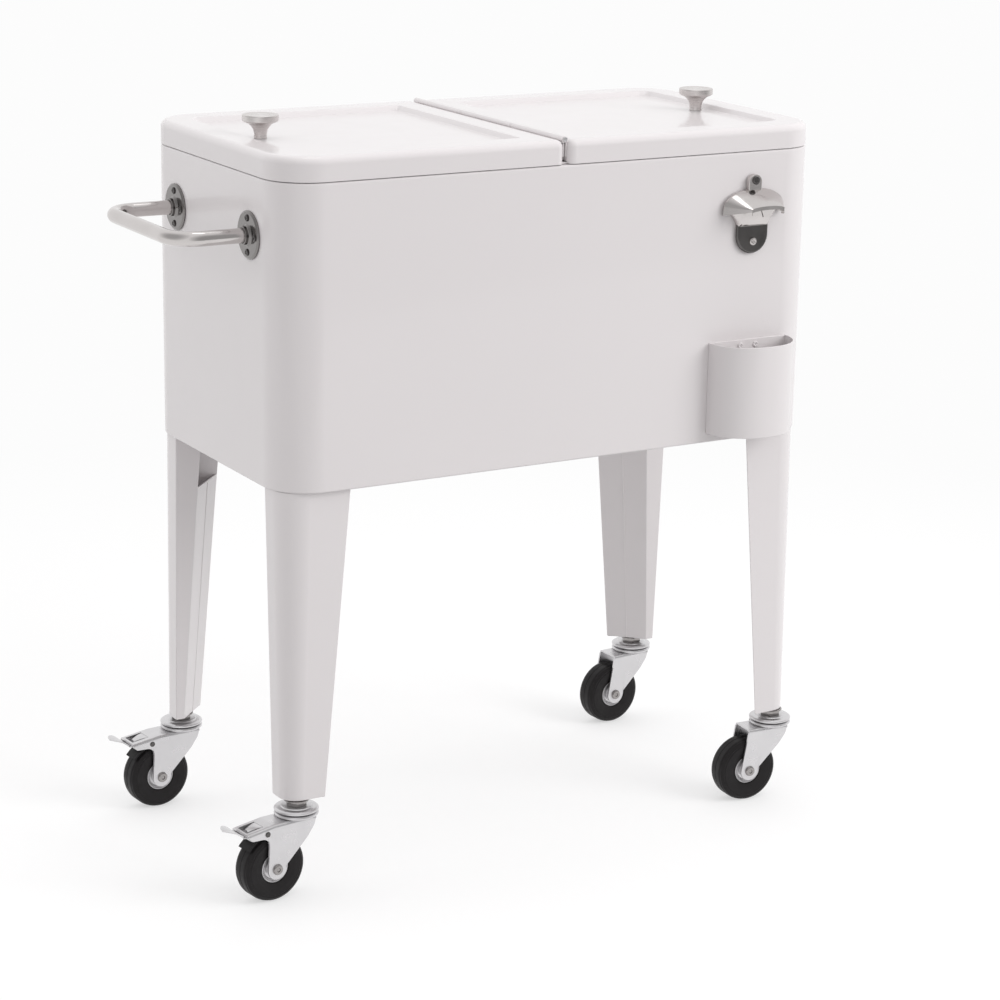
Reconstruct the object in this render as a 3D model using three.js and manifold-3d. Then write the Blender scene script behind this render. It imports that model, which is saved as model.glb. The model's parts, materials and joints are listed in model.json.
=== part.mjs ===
// Rolling patio cooler: an insulated sheet steel tub on four tapered legs with swivel casters,
// two lids hinged along the middle, a push handle, a bottle opener and a bottle cap catcher.
// Millimetres, +Z up, +X along the tub towards the opener's end, the opener's face towards -Y.

import * as THREE from 'three';
import { mergeVertices } from 'three/addons/utils/BufferGeometryUtils.js';
import Module from 'manifold-3d';

const wasm = await Module();
wasm.setup();

// General clearances and facets
const fitGap = 0.3;
const cutOver = 5;
const cornerSteps = 5;
const fineSides = 20;
const plainSides = 16;
const smallSides = 10;
const studSides = 8;
const roundSides = 14;

// Tub
const tubLength = 653;
const tubDepth = 336;
const tubBase = 438.2;
const tubHeight = 318;
const cornerRadius = 48;
const edgeRadius = 2;
const sheet = 1.2;
const topFlange = 17;
const bottomFlange = 20;
const panLip = 12;
const tubTop = tubBase + tubHeight;
const tubEdges = box2(-tubLength / 2, tubLength / 2, -tubDepth / 2, tubDepth / 2);
const tubRadii = [cornerRadius, cornerRadius, cornerRadius, cornerRadius];

// Liner and insulation
const linerInset = 24;
const linerWall = 2.5;
const floorFoam = 24;
const linerFloorRadius = 10;
const linerBendSteps = 2;
const rimInset = 5;
const rimThickness = 2;
const linerLipRadius = 1.5;
const panTop = tubBase + sheet + fitGap + sheet;
const linerFloorUnder = panTop + floorFoam;
const rimUnder = tubTop + fitGap;
const rimTop = rimUnder + rimThickness;

// Drain
const drainInset = 104.5;
const drainOuterRadius = 11;
const drainBoreRadius = 8;
const drainFlangeRadius = 17;
const drainFlangeThickness = 2;
const drainDrop = 17;
const capWall = 2;
const capLength = 15;
const capGripDepth = 1.2;
const capGrips = 8;
const drainX = drainInset - tubLength / 2;

// Lids
const seamGap = 0.8;
const lidHeight = 25.2;
const lidSheet = 1;
const lidEdgeRadius = 8;
const lidEndRadius = 9;
const halfLidGap = 2.5;
const panelInset = 34;
const panelSlope = 5;
const panelDrop = 5;
const lidEdgeSteps = 3;
const railClearance = 1;
const lidBottom = tubTop + seamGap;
const lidTop = lidBottom + lidHeight;
const panelTop = lidTop - panelDrop;
const panelShift = lidSheet * Math.tan(Math.atan2(panelDrop, panelSlope) / 2);

// Lid inner tray, insulation and seal
const sealThickness = 3;
const sealInset = 8;
const sealWidth = 8;
const trayThickness = 2;
const trayInset = 1.5;
const lidFoamInset = 3;
const sealBottom = rimTop + fitGap;
const trayBottom = sealBottom + sealThickness + fitGap;
const lidFoamBottom = trayBottom + trayThickness + fitGap;

// Centre rail and hinge
const railHalfWidth = 22;
const railFlangeDrop = 16;
const railEndMargin = 2;
const pinRadius = 1.6;
const pinHeadRadius = 3;
const pinHeadThickness = 1.2;
const pinRunning = 0.4;
const knuckleWall = 1.3;
const barrelOverrun = 1;
const lugWidth = 2.4;
const lugThickness = 1.8;
const leafThickness = 1;
const leafDrop = 18;
const leafArmOverlap = 1.5;
const railHalfSpan = tubDepth / 2 - rimInset - railEndMargin;
const barrelLength = 2 * (railHalfSpan + barrelOverrun);
const knuckleRadius = pinRadius + pinRunning + knuckleWall;
const breakWidth = lugWidth + 2 * fitGap;
const knuckleLength = (barrelLength - 2 * breakWidth) / 3;
const hingeZ = lidTop;

// Lid knobs
const knobInset = 55.8;
const knobHeight = 25;
const knobDiscRadius = 19;
const knobDiscThickness = 8;
const knobWaistRadius = 6.6;
const knobChamfer = 1.6;
const knobX = tubLength / 2 - knobInset;
const knobFlareShares = [[1, 0], [1.02, 0.25], [1.12, 0.45], [1.35, 0.65], [1.72, 0.85], [2.1, 1]];

// Handle on the left end
const handleDrop = 61;
const handleHalfSpan = 91;
const handleBarRadius = 7.75;
const handleReach = 88;
const handleBend = 30;
const handleBendSteps = 6;
const flangeRadius = 25;
const flangeThickness = 2.5;
const flangeEdge = 1;
const collarWall = 2.2;
const collarLength = 6;
const flangeScrewCircle = 17.5;
const flangeScrewRadius = 3.6;
const flangeScrewHeight = 1.6;
const handleHeight = tubTop - handleDrop;

// Legs
const legSheet = 1.5;
const legTopInsetX = 5;
const legTopInsetY = 8;
const legTopWidth = 76;
const legTopRadius = 30;
const legTopSide = 47.5;
const legTopReturn = 30;
const legBottomInsetX = 6.2;
const legBottomInsetY = 8;
const legBottomWidth = 45.8;
const legBottomRadius = 20;
const legBottomSide = 35;
const legBottomReturn = 10;
const legNotchDrop = 62;
const legNotchMargin = 3;
const legArcSteps = 6;

// Casters
const casterInsetX = 22.7;
const casterInsetY = 19.1;
const casterTrail = 33.7;
const wheelRadius = 36.8;
const tyreWidth = 25.2;
const tyreBeadRadius = 16.2;
const tyreShoulder = 3.5;
const tyreWallRadius = 32;
const tyreDish = 1.4;
const tyreSides = 22;
const hubHalfWidth = 12.8;
const hubWebHalfWidth = 7;
const hubBoss = 8.5;
const hubRimWall = 1.8;
const axleRadius = 4;
const axleRunning = 0.4;
const axleHeadRadius = 6.2;
const axleHeadThickness = 3;
const axleHeadChamfer = 1;
const cheekGap = 13.6;
const cheekThickness = 2;
const forkClearance = 10.8;
const forkPlate = 2.5;
const raceRadius = 23.9;
const lowerRaceHeight = 5;
const upperRaceHeight = 5.5;
const raceRoll = 1.8;
const raceNeckRadius = 16;
const swivelGap = 0.5;
const kingpinRadius = 5;
const kingpinHeadRadius = 8.5;
const kingpinHeadThickness = 3;
const stemNutRadius = 12;
const stemNutHeight = 6.8;
const stemRise = 24;
const earRadius = 11.2;
const earStartDegrees = -192;
const plainForkTail = 2.2;
const forkNose = 15;
const forkShoulderX = -12.6;
const forkShoulderDrop = 7.4;
const forkShinX = -4;
const forkShinDrop = 19.1;
const casterX = tubLength / 2 - casterInsetX;
const casterY = tubDepth / 2 - casterInsetY;
const forkTopUnder = 2 * wheelRadius + forkClearance;
const raceSplit = forkTopUnder + forkPlate + lowerRaceHeight;
const raceTop = raceSplit + upperRaceHeight;
const legBottom = raceTop + stemNutHeight;
const plainForkEnd = casterTrail + plainForkTail;
const forkShinZ = forkTopUnder - forkShinDrop;
const forkShoulderZ = forkTopUnder - forkShoulderDrop;

// Brakes, on the two casters at the handle's end
const brakeForkTail = 35.9;
const brakeDeckAhead = 2.3;
const brakeDeckDrop = 4.2;
const brakeLipDrop = 8.2;
const brakeLipBack = 1.2;
const brakeArchDrop = 12.2;
const brakeArchStart = 5.2;
const brakeArchRun = 12;
const brakeArchFall = 0.8;
const brakeKneeDrop = 26.2;
const brakeShankAhead = 9.2;
const brakePivotAhead = 11.8;
const brakePivotDrop = 5.7;
const brakePinRadius = 2;
const brakeSleeveRadius = 4;
const pedalOverhang = 22;
const pedalTipRise = 10;
const pedalHalfWidth = 11;
const pedalThickness = 1.8;
const carrierAhead = 5.5;
const carrierLength = 9;
const carrierHalfWidth = 6;
const shoeStartDegrees = 39;
const shoeEndDegrees = 60;
const shoeThickness = 1.8;
const shoeStroke = 1.9;
const shoeHalfWidth = 10;
const windowHalfWidth = 9;
const windowLength = 19;
const windowMargin = 3.5;
const brakeForkEnd = casterTrail + brakeForkTail;
const brakeDeckBend = casterTrail + brakeDeckAhead;
const brakePivotX = casterTrail + brakePivotAhead;
const brakePivotZ = forkTopUnder - brakePivotDrop;
const pedalReach = brakeForkEnd + pedalOverhang;
const pedalRoot = brakePivotX - brakeSleeveRadius;
const carrierStart = brakePivotX + carrierAhead;

// Bottle opener
const openerInset = 92.3;
const openerDrop = 110.3;
const openerHeight = 86.5;
const openerPlateHalfWidth = 20.2;
const openerTabHalfWidth = 8.5;
const openerPlateThickness = 5;
const openerTabThickness = 7;
const openerNeckHeight = 56;
const hoodRootHalfWidth = 39;
const hoodRootHeight = 52;
const hoodRootRise = 19.5;
const hoodFootHalfWidth = 40;
const hoodFootHeight = 44;
const hoodLipHalfWidth = 21;
const hoodLipHeight = 53;
const hoodLipRise = 3;
const hoodLipFace = 4;
const hoodBackInset = 5;
const hoodBackReach = 4.5;
const hoodReach = 32;
const hoodWall = 2.4;
const hoodAcrossSteps = 8;
const hoodAlongSteps = 3;
const restHalfWidth = 18;
const restBottomHeight = 27;
const restKneeHeight = 36;
const restKneeReach = 10;
const restTopHeight = 50;
const restTopReach = 13;
const restLipHalfWidth = 16;
const restWingReach = 4.5;
const restFootHalfWidth = 20.5;
const restKneeHalfWidth = 22;
const restTopHalfWidth = 34;
const clawRootHeight = 52.8;
const clawTipHeight = 44;
const clawRootHalfWidth = 9;
const clawTipHalfWidth = 4;
const clawThickness = 3;
const clawLean = 2;
const openerScrewRadius = 4.2;
const openerScrewHeight = 2.2;
const openerUpperScrew = 80;
const openerLowerScrew = 13.5;
const openerX = tubLength / 2 - openerInset;
const openerBottom = tubTop - openerDrop;

// Bottle cap catcher
const catcherInset = 90.2;
const catcherRise = 11;
const catcherHeight = 101;
const catcherHalfWidth = 50.8;
const catcherReach = 46;
const catcherSheet = 1.4;
const catcherScrewOffset = 10;
const catcherScrewDrop = 6.5;
const catcherScrewRadius = 3.4;
const catcherScrewHeight = 1.6;
const catcherSteps = 14;
const catcherSquareShare = 0.9;
const catcherX = tubLength / 2 - catcherInset;
const catcherBottom = tubBase + catcherRise;

const white = finish('#e9e5e4', 0.38, 0.1);
const linerWhite = finish('#f0efec', 0.45, 0);
const foamCream = finish('#e8dfc0', 0.95, 0);
const sealGrey = finish('#8d8f90', 0.8, 0);
const brushed = finish('#b9b7b4', 0.35, 0.9);
const polished = finish('#c4c2bf', 0.15, 1);
const zinc = finish('#c9cbce', 0.25, 0.95);
const tyreBlack = finish('#252324', 0.7, 0);
const shoeBlack = finish('#1c1b1b', 0.6, 0);
const drainGrey = finish('#d8d8d6', 0.5, 0);

function finish(color, roughness, metalness) {
  return () => new THREE.MeshStandardMaterial({ color, roughness, metalness });
}

function box2(left, right, front, back) {
  return { left, right, front, back };
}

// Drops the triangles that have shrunk to a line, and turns the faces outwards.
function sealed(geometry) {
  const plain = new THREE.BufferGeometry().setAttribute('position', geometry.getAttribute('position'));
  if (geometry.index) plain.setIndex(geometry.index);
  const merged = mergeVertices(plain, 1e-4);
  const source = merged.index.array;
  const at = merged.getAttribute('position');
  const kept = [];
  let volume = 0;
  const a = new THREE.Vector3();
  const b = new THREE.Vector3();
  const c = new THREE.Vector3();
  for (let i = 0; i < source.length; i += 3) {
    const [p, q, r] = [source[i], source[i + 1], source[i + 2]];
    if (p === q || q === r || r === p) continue;
    a.fromBufferAttribute(at, p);
    b.fromBufferAttribute(at, q);
    c.fromBufferAttribute(at, r);
    volume += a.dot(b.cross(c));
    kept.push(p, q, r);
  }
  if (volume < 0) kept.reverse();
  merged.setIndex(kept);
  return merged;
}

function toSolid(geometry) {
  const clean = sealed(geometry);
  return new wasm.Manifold(new wasm.Mesh({
    numProp: 3,
    vertProperties: new Float32Array(clean.getAttribute('position').array),
    triVerts: new Uint32Array(clean.index.array),
  }));
}

function toGeometry(solid) {
  const mesh = solid.getMesh();
  const geometry = new THREE.BufferGeometry();
  geometry.setAttribute('position', new THREE.BufferAttribute(new Float32Array(mesh.vertProperties), 3));
  geometry.setIndex(new THREE.BufferAttribute(new Uint32Array(mesh.triVerts), 1));
  return geometry;
}

function united(...geometries) {
  const solids = geometries.map(toSolid);
  return toGeometry(solids.reduce((whole, next) => whole.add(next)));
}

function cut(geometry, ...cutters) {
  return toGeometry(cutters.map(toSolid).reduce((left, cutter) => left.subtract(cutter), toSolid(geometry)));
}

// Flat shading needs a corner of its own for every face.
function piece(name, geometry, material) {
  const faceted = geometry.index ? geometry.toNonIndexed() : geometry;
  faceted.computeVertexNormals();
  const mesh = new THREE.Mesh(faceted, material());
  mesh.name = name;
  return mesh;
}

function block(x0, x1, y0, y1, z0, z1) {
  const geometry = new THREE.BoxGeometry(Math.abs(x1 - x0), Math.abs(y1 - y0), Math.abs(z1 - z0));
  return geometry.translate((x0 + x1) / 2, (y0 + y1) / 2, (z0 + z1) / 2);
}

// A solid of revolution about Z: pairs of radius and height, from the axis to the axis, or a loop.
function turned(profile, sides) {
  const points = profile.map(([r, z]) => new THREE.Vector2(r, z));
  return sealed(new THREE.LatheGeometry(points, sides).rotateX(Math.PI / 2));
}

function rodProfile(radius, low, high) {
  return [[0, low], [radius, low], [radius, high], [0, high]];
}

function rod(radius, low, high, sides) {
  return turned(rodProfile(radius, low, high), sides);
}

// A rectangle with round corners, pushed inwards by an inset, as points in a ring.
// The radii run anticlockwise from the front right corner.
function outline(edges, radii, inset, z, steps = cornerSteps) {
  const corners = [
    [edges.right, edges.front, -1, 1],
    [edges.right, edges.back, -1, -1],
    [edges.left, edges.back, 1, -1],
    [edges.left, edges.front, 1, 1],
  ];
  return corners.flatMap(([x, y, towardsX, towardsY], corner) => {
    const radius = Math.max(radii[corner] - inset, edgeRadius);
    const centreX = x + towardsX * (inset + radius);
    const centreY = y + towardsY * (inset + radius);
    return Array.from({ length: steps + 1 }, (_, i) => {
      const angle = (corner - 1 + i / steps) * Math.PI / 2;
      return [centreX + radius * Math.cos(angle), centreY + radius * Math.sin(angle), z];
    });
  });
}

// A skin through rings of as many points each. A closed run joins the last ring to the first,
// and an open one has its first and last rings covered.
function loft(rings, closed = false) {
  const count = rings[0].length;
  const points = rings.flat(1);
  const faces = [];
  const spans = closed ? rings.length : rings.length - 1;
  for (let r = 0; r < spans; r += 1) {
    const here = r * count;
    const there = ((r + 1) % rings.length) * count;
    for (let i = 0; i < count; i += 1) {
      const j = (i + 1) % count;
      faces.push(here + i, here + j, there + i, here + j, there + j, there + i);
    }
  }
  if (!closed) {
    cover(points, faces, 0, count, true);
    cover(points, faces, (rings.length - 1) * count, count, false);
  }
  const geometry = new THREE.BufferGeometry();
  geometry.setAttribute('position', new THREE.Float32BufferAttribute(points.flat(), 3));
  geometry.setIndex(faces);
  return sealed(geometry);
}

// Covers a ring with a fan from its middle.
function cover(points, faces, start, count, backwards) {
  const ring = points.slice(start, start + count);
  const middle = [0, 1, 2].map((k) => ring.reduce((sum, point) => sum + point[k], 0) / count);
  const hub = points.push(middle) - 1;
  for (let i = 0; i < count; i += 1) {
    const j = (i + 1) % count;
    if (backwards) faces.push(hub, start + j, start + i);
    else faces.push(hub, start + i, start + j);
  }
}

// A wall between two grids of points with as many rows and columns each.
function wallBetween(outer, inner) {
  const rows = outer.length;
  const columns = outer[0].length;
  const points = [...outer.flat(1), ...inner.flat(1)];
  const faces = [];
  const at = (row, column, side) => side * rows * columns + row * columns + column;
  const quad = (a, b, c, d) => faces.push(a, b, c, a, c, d);
  for (let i = 0; i < rows - 1; i += 1) {
    for (let j = 0; j < columns - 1; j += 1) {
      quad(at(i, j, 0), at(i + 1, j, 0), at(i + 1, j + 1, 0), at(i, j + 1, 0));
      quad(at(i, j, 1), at(i, j + 1, 1), at(i + 1, j + 1, 1), at(i + 1, j, 1));
    }
  }
  for (let i = 0; i < rows - 1; i += 1) {
    quad(at(i, 0, 0), at(i, 0, 1), at(i + 1, 0, 1), at(i + 1, 0, 0));
    quad(at(i, columns - 1, 0), at(i + 1, columns - 1, 0), at(i + 1, columns - 1, 1), at(i, columns - 1, 1));
  }
  for (let j = 0; j < columns - 1; j += 1) {
    quad(at(0, j, 0), at(0, j + 1, 0), at(0, j + 1, 1), at(0, j, 1));
    quad(at(rows - 1, j, 0), at(rows - 1, j, 1), at(rows - 1, j + 1, 1), at(rows - 1, j + 1, 0));
  }
  const geometry = new THREE.BufferGeometry();
  geometry.setAttribute('position', new THREE.Float32BufferAttribute(points.flat(), 3));
  geometry.setIndex(faces);
  return sealed(geometry);
}

// An outline drawn in X and Z, given a thickness along Y from near to far.
function plateInXZ(shape, near, far, curveSegments = 6) {
  const geometry = new THREE.ExtrudeGeometry(shape, {
    depth: Math.abs(far - near), bevelEnabled: false, curveSegments,
  });
  return sealed(geometry.rotateX(Math.PI / 2).translate(0, Math.max(near, far), 0));
}

function tubShell() {
  const profile = [
    [edgeRadius, tubBase],
    [0, tubBase + edgeRadius],
    [0, tubTop - edgeRadius],
    [edgeRadius, tubTop],
    [topFlange, tubTop],
    [topFlange, tubTop - sheet],
    [edgeRadius + sheet, tubTop - sheet],
    [sheet, tubTop - edgeRadius - sheet],
    [sheet, tubBase + edgeRadius + sheet],
    [edgeRadius + sheet, tubBase + sheet],
    [bottomFlange, tubBase + sheet],
    [bottomFlange, tubBase],
  ];
  return loft(profile.map(([inset, z]) => outline(tubEdges, tubRadii, inset, z)), true);
}

function drainHole(low, high, radius) {
  return rod(radius, low - cutOver, high + cutOver, plainSides).translate(drainX, 0, 0);
}

function basePan() {
  const inset = sheet + edgeRadius + fitGap;
  const under = tubBase + sheet + fitGap;
  const lipTop = under + panLip;
  const tray = loft([
    outline(tubEdges, tubRadii, inset, under),
    outline(tubEdges, tubRadii, inset, lipTop),
    outline(tubEdges, tubRadii, inset + sheet, lipTop),
    outline(tubEdges, tubRadii, inset + sheet, panTop),
  ]);
  return cut(tray, drainHole(under, panTop, drainOuterRadius + fitGap));
}

// The liner's bend from wall to floor, from the wall down, grown outwards or, if negative, inwards.
function linerBend(growth) {
  const radius = linerFloorRadius + growth;
  return Array.from({ length: linerBendSteps + 1 }, (_, i) => {
    const angle = i / linerBendSteps * Math.PI / 2;
    const inset = linerInset + linerFloorRadius - radius * Math.cos(angle);
    return outline(tubEdges, tubRadii, inset, linerFloorUnder + linerFloorRadius - radius * Math.sin(angle));
  });
}

function insulation() {
  const outerInset = sheet + edgeRadius + 2 * fitGap + sheet;
  const low = panTop + fitGap;
  const high = tubTop - sheet - fitGap;
  const foam = loft([
    outline(tubEdges, tubRadii, outerInset, low),
    outline(tubEdges, tubRadii, outerInset, high),
    outline(tubEdges, tubRadii, linerInset - fitGap, high),
    ...linerBend(fitGap),
  ]);
  return cut(foam, drainHole(low, linerFloorUnder, drainOuterRadius + fitGap));
}

function innerLiner() {
  const innerInset = linerInset + linerWall;
  const shell = loft([
    ...linerBend(0).reverse(),
    outline(tubEdges, tubRadii, linerInset, rimUnder),
    outline(tubEdges, tubRadii, rimInset, rimUnder),
    outline(tubEdges, tubRadii, rimInset, rimTop),
    outline(tubEdges, tubRadii, innerInset - linerLipRadius, rimTop),
    outline(tubEdges, tubRadii, innerInset, rimTop - linerLipRadius),
    ...linerBend(-linerWall),
  ]);
  const railSeat = block(
    -railHalfWidth - fitGap, railHalfWidth + fitGap,
    -tubDepth, tubDepth,
    tubTop, rimTop + cutOver,
  );
  const bore = drainHole(linerFloorUnder, linerFloorUnder + linerWall, drainOuterRadius + fitGap);
  return cut(shell, railSeat, bore);
}

function drainSpout() {
  const flangeUnder = linerFloorUnder + linerWall + fitGap;
  const bottom = tubBase - drainDrop;
  const profile = [
    [drainBoreRadius, bottom],
    [drainOuterRadius, bottom],
    [drainOuterRadius, flangeUnder],
    [drainFlangeRadius, flangeUnder],
    [drainFlangeRadius, flangeUnder + drainFlangeThickness],
    [drainBoreRadius, flangeUnder + drainFlangeThickness],
    [drainBoreRadius, bottom],
  ];
  return turned(profile, plainSides).translate(drainX, 0, 0);
}

// A cap with a ribbed skirt that slips over the spout from below.
function drainCap() {
  const inner = drainOuterRadius + fitGap;
  const outer = inner + capWall;
  const roof = tubBase - drainDrop - fitGap;
  const low = roof - capWall;
  const high = low + capLength;
  const cup = turned([
    [0, low], [outer, low], [outer, high], [inner, high], [inner, roof], [0, roof],
  ], plainSides);
  const grips = Array.from({ length: capGrips }, (_, i) => {
    const grip = block(outer - capGripDepth, outer + capGripDepth, -capGripDepth, capGripDepth, low, high);
    return grip.rotateZ(i * 2 * Math.PI / capGrips);
  });
  return united(cup, ...grips).translate(drainX, 0, 0);
}

// Three knuckles share the barrel: the outer two on the left leaf, the middle one on the right.
function knuckleSpan(index) {
  const start = -barrelLength / 2 + index * (knuckleLength + breakWidth);
  return [start, start + knuckleLength];
}

function lugCentres() {
  return [0, 1].map((index) => knuckleSpan(index)[1] + breakWidth / 2);
}

function alongY(geometry, x, z) {
  return geometry.rotateX(-Math.PI / 2).translate(x, 0, z);
}

function centreRail() {
  const mouth = tubDepth / 2 - linerInset - linerWall - fitGap;
  const plate = block(-railHalfWidth, railHalfWidth, -railHalfSpan, railHalfSpan, rimUnder, rimTop);
  const flanges = [-1, 1].map((side) => block(
    side * (railHalfWidth - rimThickness), side * railHalfWidth,
    -mouth, mouth, rimTop - railFlangeDrop, rimTop,
  ));
  const lugs = lugCentres().flatMap((y) => [
    block(-lugThickness / 2, lugThickness / 2, y - lugWidth / 2, y + lugWidth / 2, rimUnder, hingeZ),
    alongY(rod(knuckleRadius, y - lugWidth / 2, y + lugWidth / 2, smallSides), 0, hingeZ),
  ]);
  const bore = alongY(rod(pinRadius + fitGap, -barrelLength, barrelLength, smallSides), 0, hingeZ);
  return cut(united(plate, ...flanges, ...lugs), bore);
}

function hingePin() {
  const end = barrelLength / 2 + fitGap;
  return alongY(turned([
    [0, -end - pinHeadThickness],
    [pinHeadRadius, -end - pinHeadThickness / 2],
    [pinHeadRadius, -end],
    [pinRadius, -end],
    [pinRadius, end],
    [pinHeadRadius, end],
    [pinHeadRadius, end + pinHeadThickness / 2],
    [0, end + pinHeadThickness],
  ], smallSides), 0, hingeZ);
}

function hingeLeaf(side, knuckles) {
  const near = side * (lugThickness / 2 + fitGap);
  const far = near + side * leafThickness;
  const clear = knuckleRadius + fitGap;
  const shoulder = hingeZ - Math.sqrt(clear ** 2 - near ** 2);
  const plate = block(near, far, -barrelLength / 2, barrelLength / 2, hingeZ - leafDrop, shoulder);
  const barrels = knuckles.flatMap((index) => {
    const [start, end] = knuckleSpan(index);
    return [
      block(near, far, start, end, shoulder - leafArmOverlap, hingeZ - pinRadius - pinRunning),
      alongY(rod(knuckleRadius, start, end, smallSides), 0, hingeZ),
    ];
  });
  const bore = alongY(rod(pinRadius + pinRunning, -barrelLength, barrelLength, smallSides), 0, hingeZ);
  return cut(united(plate, ...barrels), bore);
}

// The left lid runs from the tub's left end to the gap in the middle, and the right lid mirrors it.
function lidEdges(side) {
  const end = tubLength / 2;
  return side < 0
    ? box2(-end, -halfLidGap, -tubDepth / 2, tubDepth / 2)
    : box2(halfLidGap, end, -tubDepth / 2, tubDepth / 2);
}

function lidRadii(side) {
  const outer = cornerRadius;
  const inner = lidEndRadius;
  return side < 0 ? [inner, inner, outer, outer] : [outer, outer, inner, inner];
}

function lidSkin(side) {
  const edges = lidEdges(side);
  const radii = lidRadii(side);
  const ring = (inset, z) => outline(edges, radii, inset, z);
  const rounding = (radius, offset) => Array.from({ length: lidEdgeSteps + 1 }, (_, i) => {
    const angle = i / lidEdgeSteps * Math.PI / 2;
    return ring(offset + radius * (1 - Math.cos(angle)), lidTop - lidEdgeRadius + radius * Math.sin(angle));
  });
  const outerSkin = [
    ring(0, lidBottom),
    ...rounding(lidEdgeRadius, 0),
    ring(panelInset, lidTop),
    ring(panelInset + panelSlope, panelTop),
  ];
  const innerSkin = [
    ring(lidSheet, lidBottom),
    ...rounding(lidEdgeRadius - lidSheet, lidSheet),
    ring(panelInset - panelShift, lidTop - lidSheet),
    ring(panelInset + panelSlope - panelShift, panelTop - lidSheet),
  ];
  const shell = loft([...innerSkin.reverse(), ...outerSkin]);
  const half = tubDepth / 2 - rimInset;
  const notch = block(
    side * halfLidGap - side * lidSheet, side * (halfLidGap + lidEndRadius + lidSheet),
    -half, half, lidBottom - cutOver, rimTop + railClearance,
  );
  return cut(shell, notch);
}

function lidTray(side) {
  const ring = (inset, z) => outline(lidEdges(side), lidRadii(side), inset, z);
  return loft([ring(trayInset, trayBottom), ring(trayInset, trayBottom + trayThickness)]);
}

function lidFoam(side) {
  const ring = (inset, z) => outline(lidEdges(side), lidRadii(side), inset, z);
  return loft([ring(lidFoamInset, lidFoamBottom), ring(lidFoamInset, panelTop - lidSheet - fitGap)]);
}

function lidSeal(side) {
  const ring = (inset, z) => outline(lidEdges(side), lidRadii(side), inset, z);
  const sealTop = sealBottom + sealThickness;
  return loft([
    ring(sealInset, sealBottom),
    ring(sealInset, sealTop),
    ring(sealInset + sealWidth, sealTop),
    ring(sealInset + sealWidth, sealBottom),
  ], true);
}

function lidKnob(side) {
  const seat = panelTop + fitGap;
  const top = seat + knobHeight - fitGap;
  const discUnder = top - knobDiscThickness;
  const stem = knobFlareShares.map(([radiusShare, heightShare]) => [
    knobWaistRadius * radiusShare, seat + (discUnder - seat) * heightShare,
  ]);
  return turned([
    [0, seat],
    ...stem,
    [knobDiscRadius - knobChamfer, discUnder],
    [knobDiscRadius, discUnder + knobChamfer],
    [knobDiscRadius, top - knobChamfer / 2],
    [knobDiscRadius - knobChamfer / 2, top],
    [0, top],
  ], fineSides).translate(side * knobX, 0, 0);
}

// The bar runs out from the front flange, turns along the tub's end and comes back to the rear flange.
// Each station has its place in plan and the way it heads.
function handleBar() {
  const start = -tubLength / 2 - fitGap - flangeThickness - fitGap;
  const bendX = -tubLength / 2 - handleReach + handleBarRadius + handleBend;
  const bendY = handleHalfSpan - handleBend;
  const turn = (centreY, from) => Array.from({ length: handleBendSteps + 1 }, (_, i) => {
    const angle = from - i / handleBendSteps * Math.PI / 2;
    return [bendX + handleBend * Math.cos(angle), centreY + handleBend * Math.sin(angle), angle];
  });
  const stations = [
    [start, -handleHalfSpan, -Math.PI / 2],
    ...turn(-bendY, -Math.PI / 2),
    ...turn(bendY, -Math.PI),
    [start, handleHalfSpan, -3 * Math.PI / 2],
  ];
  return loft(stations.map(([x, y, outwards]) => Array.from({ length: smallSides }, (_, i) => {
    const around = i * 2 * Math.PI / smallSides;
    const out = handleBarRadius * Math.cos(around);
    return [
      x + out * Math.cos(outwards),
      y + out * Math.sin(outwards),
      handleHeight + handleBarRadius * Math.sin(around),
    ];
  })));
}

// A round flange with a collar for the bar and four screw heads, facing -X.
function handleFlange(side) {
  const bore = handleBarRadius + fitGap;
  const plate = turned([
    [0, 0],
    [flangeRadius, 0],
    [flangeRadius, flangeThickness - flangeEdge],
    [flangeRadius - flangeEdge, flangeThickness],
    [bore + collarWall, flangeThickness],
    [bore + collarWall - flangeEdge / 2, flangeThickness + collarLength],
    [bore, flangeThickness + collarLength],
    [bore, flangeThickness],
    [0, flangeThickness],
  ], plainSides);
  const screws = [0, 1, 2, 3].map((quarter) => rod(
    flangeScrewRadius, flangeThickness - flangeEdge, flangeThickness + flangeScrewHeight, studSides,
  ).translate(
    flangeScrewCircle * Math.cos(quarter * Math.PI / 2),
    flangeScrewCircle * Math.sin(quarter * Math.PI / 2),
    0,
  ));
  const whole = united(plate, ...screws);
  return whole.rotateY(-Math.PI / 2).translate(
    -tubLength / 2 - fitGap, side * handleHalfSpan, handleHeight,
  );
}

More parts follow.
